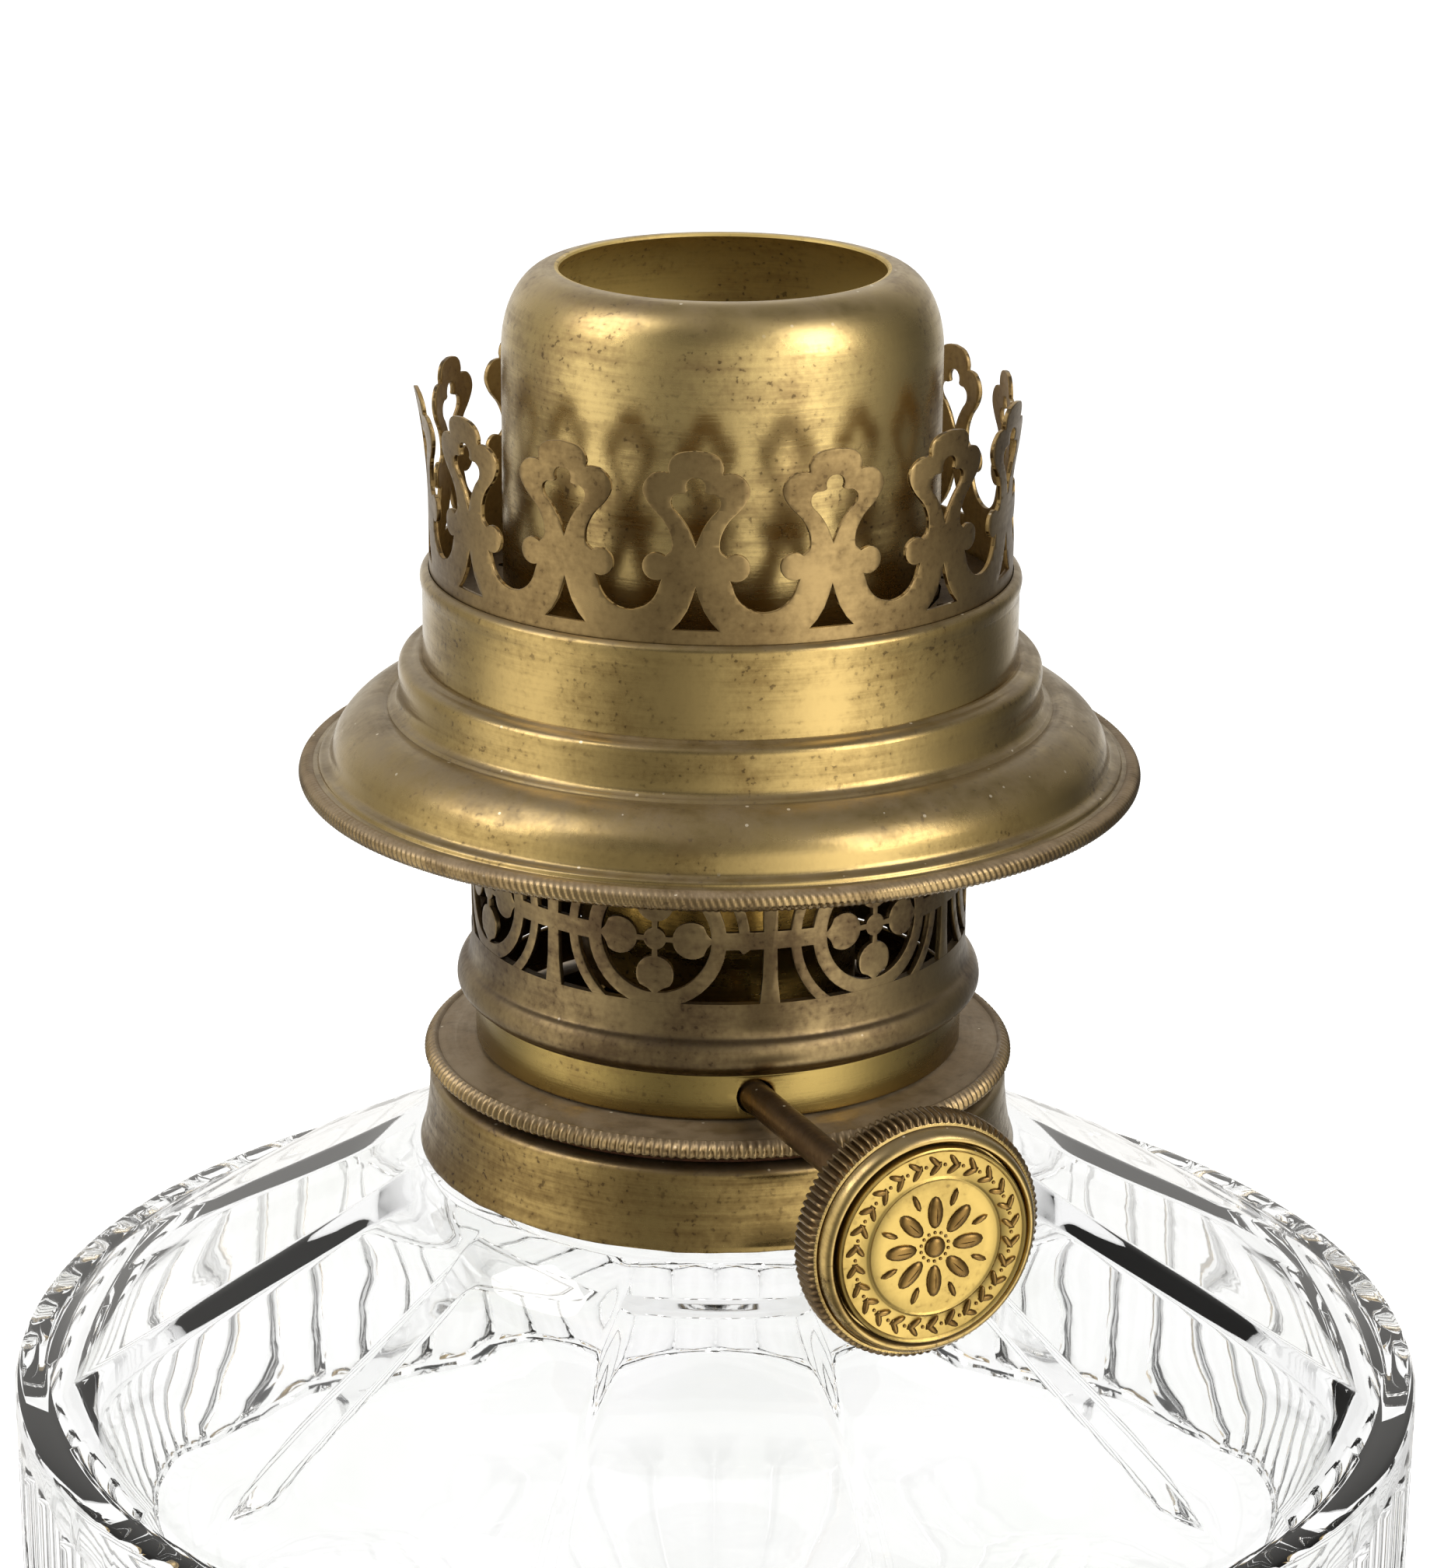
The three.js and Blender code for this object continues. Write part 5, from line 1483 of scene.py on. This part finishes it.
@dataclass
class Gallery:
    """Spun gallery: sleeve, drum with its step and flange, chimney seat and dome."""

    sheet: float = 0.5
    rim_centre: float = 45.8
    rim_radius: float = 1.1
    rope_count: int = 392
    rope_depth: float = 0.13
    rope_reach: float = 1.9
    drum_height: float = 9.5
    rim_drop: float = 12.9
    shelf_drop: float = 1.6
    dome_sheet: float = 0.6
    dome_radius: float = 24.0
    mouth_radius: float = 18.1
    shoulder: float = 9.0

    def flange(self) -> Path:
        """Draw the outer face from the drum's top to the rim, over the step's upper face."""
        return lifted([
            *flowing([(32.2, 10.15), (32.5, 10.1), (32.95, 9.75), (33.15, 9.2), (33.05, 8.5), (32.9, 7.8)],
                     3),
            (32.9, 5.0), (32.92, 2.2), (32.95, 1.2), (33.0, 0.55), (33.1, 0.25), (33.3, 0.3), (33.55, 0.38),
            (33.85, 0.3),
            *flowing([(34.1, 0.12), (34.8, 0.02), (35.3, -0.25), (35.6, -0.75), (35.7, -1.4)], 3),
            (35.65, -2.4), (35.62, -3.6),
            *flowing([(35.7, -4.2), (35.95, -4.75), (36.35, -5.1), (36.6, -5.2)], 3), (36.75, -5.4),
            (36.92, -5.5),
            *flowing([(37.1, -5.42), (37.9, -5.32), (39.1, -5.6), (40.3, -6.26), (41.3, -7.08), (42.1, -7.95),
                      (42.7, -8.9), (43.05, -9.75), (43.25, -10.5), (43.5, -11.0), (43.85, -11.22)], 3),
            *flowing([(44.1, -11.27), (44.4, -11.32), (44.62, -11.52), (44.7, -11.75)], 2),
            (44.8, -11.86), (45.1, -11.9), (45.35, -11.95),
        ], self.step())

    def step(self) -> float:
        """Give the level of the step round the drum."""
        return top_of("shade_flange") - self.drum_height

    def rope(self, level: float) -> Mesh:
        """Turn the rolled rim and knurl it with slanted ribs."""
        centre, radius = self.rim_centre, self.rim_radius
        section = arc((centre, level), radius, 0, 345, 23)
        bm = lathe(section, self.rope_count * 4)
        for vert in bm.verts:
            reach = math.hypot(vert.co.x, vert.co.y)
            minor = math.atan2(vert.co.z - level, reach - centre)
            if abs(minor) > self.rope_reach:
                continue
            fade = min((self.rope_reach - abs(minor)) / 0.5, 1)
            phase = self.rope_count * math.atan2(vert.co.x, -vert.co.y) + 3.4 * minor
            depth = self.rope_depth * fade * (0.5 - 0.5 * math.cos(phase))
            new_reach = centre + (radius - depth) * math.cos(minor)
            vert.co.z = level + (radius - depth) * math.sin(minor)
            vert.co.x *= new_reach / reach
            vert.co.y *= new_reach / reach
        return bm

    def dome(self) -> Path:
        """Draw the dome's section: outer face, turned lip and inner face."""
        mouth, low = top_of("dome"), foot_of("dome")
        start = mouth - self.shoulder
        inset = self.dome_radius - self.mouth_radius
        outer = [(self.mouth_radius + inset * math.cos(math.radians(a)) ** 0.92,
                  start + self.shoulder * math.sin(math.radians(a)) ** 0.98) for a in range(0, 85, 5)]
        sheet = self.dome_sheet
        inner = [(r - sheet * math.cos(math.radians(5 * i)), z - sheet * math.sin(math.radians(5 * i)))
                 for i, (r, z) in enumerate(outer)]
        lip = [(self.mouth_radius + 0.1, mouth - 0.02), (self.mouth_radius - 0.25, mouth - 0.1),
               (self.mouth_radius - 0.35, mouth - 0.35)]
        return [(self.dome_radius, low), (self.dome_radius, start - 9), *outer, *lip, *reversed(inner),
                (self.dome_radius - sheet, start - 9), (self.dome_radius - sheet, low)]

    def build(self, finishes: Finishes) -> None:
        """Build the gallery's pieces."""
        run = self.flange()
        finish("flange_spun", lathe(sheet_ring(run, self.sheet), 224), finishes.drum, Body.GALLERY,
               ["shade_flange"])
        rim = self.rope(self.step() - self.rim_drop)
        finish("flange_rope", rim, finishes.base, Body.GALLERY, ["shade_flange"])
        dome = finish("dome_spun", lathe(self.dome(), 224), finishes.spun, Body.GALLERY, ["dome"])
        # The dome's inner faces take a paler copy of the brass: painted bounce light inside the mouth.
        dress_faces(dome, finishes.inside, faces_axis)
        low = foot_of("gallery_sleeve")
        shelf = self.step() - self.shelf_drop
        ledge = top_of("air_basket") + SEAT_GAP
        top = top_of("gallery_sleeve")
        sleeve = [
            (28.2, low + 0.1), (28.5, low), (28.8, low + 0.1), (28.8, ledge + 0.3), (28.5, ledge + 0.6),
            (27.1, ledge + 0.6), (27.1, shelf), (34.5, shelf), (34.9, shelf + 0.2), (34.9, shelf + 0.6),
            (34.6, shelf + 0.8), (27.1, shelf + 0.8), (27.1, top), (26.5, top), (26.5, ledge), (28.2, ledge)]
        finish("sleeve_turned", lathe(sleeve, 144), finishes.basket, Body.GALLERY,
               ["gallery_sleeve"])


@dataclass
class Studio:
    """Camera, lamps, floor and world."""

    focal_pixels: float = 5612.0
    image_height: float = 2016.0
    sensor: float = 36.0
    stand: tuple[float, float, float] = (-0.0005, -0.4636, 0.3883)
    pitch: float = 18.45
    roll: float = 0.38
    floor_size: float = 12.0
    box_size: Point = (0.55, 0.7)
    box_distance: float = 1.2
    box_aim: float = 0.25
    box_tint: tuple[float, float, float] = (1.0, 0.97, 0.93)
    room: tuple[Point, ...] = (
        (-180, 1.0), (-150, 1.0), (-125, 0.6), (-104, 0.55), (-86, 1.9), (-66, 2.1), (-46, 0.7), (-24, 0.3),
        (0, 0.7), (22, 1.7), (40, 3.2), (58, 2.2), (76, 0.6), (100, 0.32), (122, 0.1), (140, 0.25),
        (158, 1.0), (180, 1.0))

    def camera(self) -> None:
        """Set up the camera at the photograph's angle."""
        data = bpy.data.cameras.new("camera")
        data.sensor_width = self.sensor
        data.lens = self.focal_pixels / self.image_height * self.sensor
        data.clip_start = 0.02
        data.clip_end = 60
        camera = placed("camera", data)
        tilt = Matrix.Rotation(math.radians(90 - self.pitch), 4, "X")
        camera.matrix_world = (Matrix.Translation(self.stand) @ tilt
                               @ Matrix.Rotation(math.radians(self.roll), 4, "Z"))
        bpy.context.scene.camera = camera

    def softbox(self, name: str, towards: Sequence[float], power: float) -> None:
        """Hang a soft lamp that faces the burner.

        Args:
            name: its name.
            towards: its direction from the burner.
            power: its power in watts.
        """
        data = bpy.data.lights.new(name, "AREA")
        data.shape = "RECTANGLE"
        data.size, data.size_y = self.box_size
        data.energy = power
        data.color = self.box_tint
        way = Vector(towards).normalized()
        place = Matrix.Translation(Vector((0, 0, self.box_aim)) + way * self.box_distance)
        placed(name, data).matrix_world = place @ way.to_track_quat("Z", "Y").to_matrix().to_4x4()

    def room_light(self, tree: Tree, way: Socket) -> Socket:
        """Give how bright the room is in a direction: windows left and right of the front, dim between.

        Args:
            tree: the tree it goes in.
            way: a socket with the direction from the lamp.

        Returns:
            The brightness's socket.
        """
        axes = node(tree, "ShaderNodeSeparateXYZ", {0: way}).outputs
        angle = maths(tree, "ARCTAN2", axes[0], maths(tree, "MULTIPLY", axes[1], -1.0))
        share = node(tree, "ShaderNodeMapRange", {0: angle, 1: -math.pi, 2: math.pi}).outputs[0]
        ramp = node(tree, "ShaderNodeValToRGB", {0: share})
        ramp.color_ramp.interpolation = "B_SPLINE"
        peak = max(value for _, value in self.room)
        stops = ramp.color_ramp.elements
        for index, (degrees, value) in enumerate(self.room):
            place = (degrees + 180) / 360
            stop = stops[index] if index < 2 else stops.new(place)
            stop.position = place
            stop.color = (value / peak, value / peak, value / peak, 1.0)
        return maths(tree, "MULTIPLY", ramp.outputs[0], peak)

    def world(self) -> None:
        """Light the scene softly, with a white studio behind the lamp and a room in front of it.

        The room's ceiling is dimmer than its walls.
        """
        world = bpy.data.worlds.new("studio")
        bpy.context.scene.world = world
        world.use_nodes = True
        tree = world.node_tree
        tree.nodes.clear()
        way = node(tree, "ShaderNodeTexCoord").outputs["Generated"]
        ceiling = ranged(tree, axis_of(tree, way, 2), 0.4, 0.8, 1.0, 0.25)
        lit = maths(tree, "MULTIPLY", self.room_light(tree, way), ceiling)
        path = node(tree, "ShaderNodeLightPath").outputs
        plain = glowing(tree, "ShaderNodeBackground", WHITE, 0.55)
        seen = glowing(tree, "ShaderNodeBackground", WHITE, 1.0)
        shown = glowing(tree, "ShaderNodeBackground", ROOM_TINT, lit)
        first = blended(tree, path["Is Glossy Ray"], plain, shown)
        clear = maths(tree, "MAXIMUM", path["Is Camera Ray"], path["Is Transmission Ray"])
        node(tree, "ShaderNodeOutputWorld", {0: blended(tree, clear, first, seen)})

    def floor(self) -> None:
        """Lay the pale floor, which keeps the lamp's shadow, and which glows with the room's light in glossy
        rays as a painted reflection.
        """
        bm = bmesh.new()
        bmesh.ops.create_grid(bm, x_segments=1, y_segments=1, size=self.floor_size / 2)
        mesh = bpy.data.meshes.new("floor")
        bm.to_mesh(mesh)
        bm.free()
        material, tree, _ = new_material("floor_paper")
        tree.nodes.clear()
        spot = node(tree, "ShaderNodeTexCoord").outputs["Object"]
        paper = mixed(tree, grain(tree, spot, 3.0), tone("FAFAF9"), tone("F3F3F1"))
        diffuse = node(tree, "ShaderNodeBsdfDiffuse", {0: paper}).outputs[0]
        path = node(tree, "ShaderNodeLightPath").outputs
        glow = glowing(tree, "ShaderNodeEmission", WHITE, 0.6)
        lift = node(tree, "ShaderNodeAddShader", {0: diffuse, 1: glow}).outputs[0]
        # Painted reflection: glossy rays see the floor glow brighter left and right of the front, and dim
        # between.
        shown = glowing(tree, "ShaderNodeEmission", ROOM_TINT, self.room_light(tree, spot))
        clear = glowing(tree, "ShaderNodeEmission", WHITE, 1.1)
        plain = blended(tree, path["Is Camera Ray"], diffuse, lift)
        bent = blended(tree, path["Is Glossy Ray"], plain, shown)
        node(tree, "ShaderNodeOutputMaterial", {0: blended(tree, path["Is Transmission Ray"], bent, clear)})
        mesh.materials.append(material)
        placed("floor", mesh)

    def build(self) -> None:
        """Set up the studio."""
        self.camera()
        self.world()
        self.floor()
        self.softbox("left_box", (-0.68, -0.12, 0.72), 6.8)
        self.softbox("right_box", (0.68, -0.42, 0.58), 6.0)
        bpy.context.scene.view_settings.view_transform = "Standard"


def main() -> None:
    """Build the lamp's looks around its frame."""
    logging.basicConfig(level=logging.INFO, format="%(name)s: %(message)s")
    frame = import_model()
    Studio().build()
    finishes = Finishes.made()
    for part in (Foot(), Stem(), GlassFont(), Collar(), BurnerBase(), AirBasket(), WickWorks(), Spindle(),
                 Gallery(), Crown()):
        part.build(finishes)
    dress_nodes(frame, ["foot_weight"], finishes.iron)
    dress_nodes(frame, ["rod_washer", "rod_nut", "stem_rod", "cup_nut"], finishes.steel)
    dress_nodes(frame, ["cup_plaster", "collar_plaster"], finishes.plaster)
    dress_nodes(frame, ["base_plate", "wick_guide", "spindle_bracket", "chimney_seat"], finishes.basket)
    dress_nodes(frame, [f"spur_wheel_{i}" for i in range(1, 5)], finishes.tube)


if __name__ == "__main__":
    main()
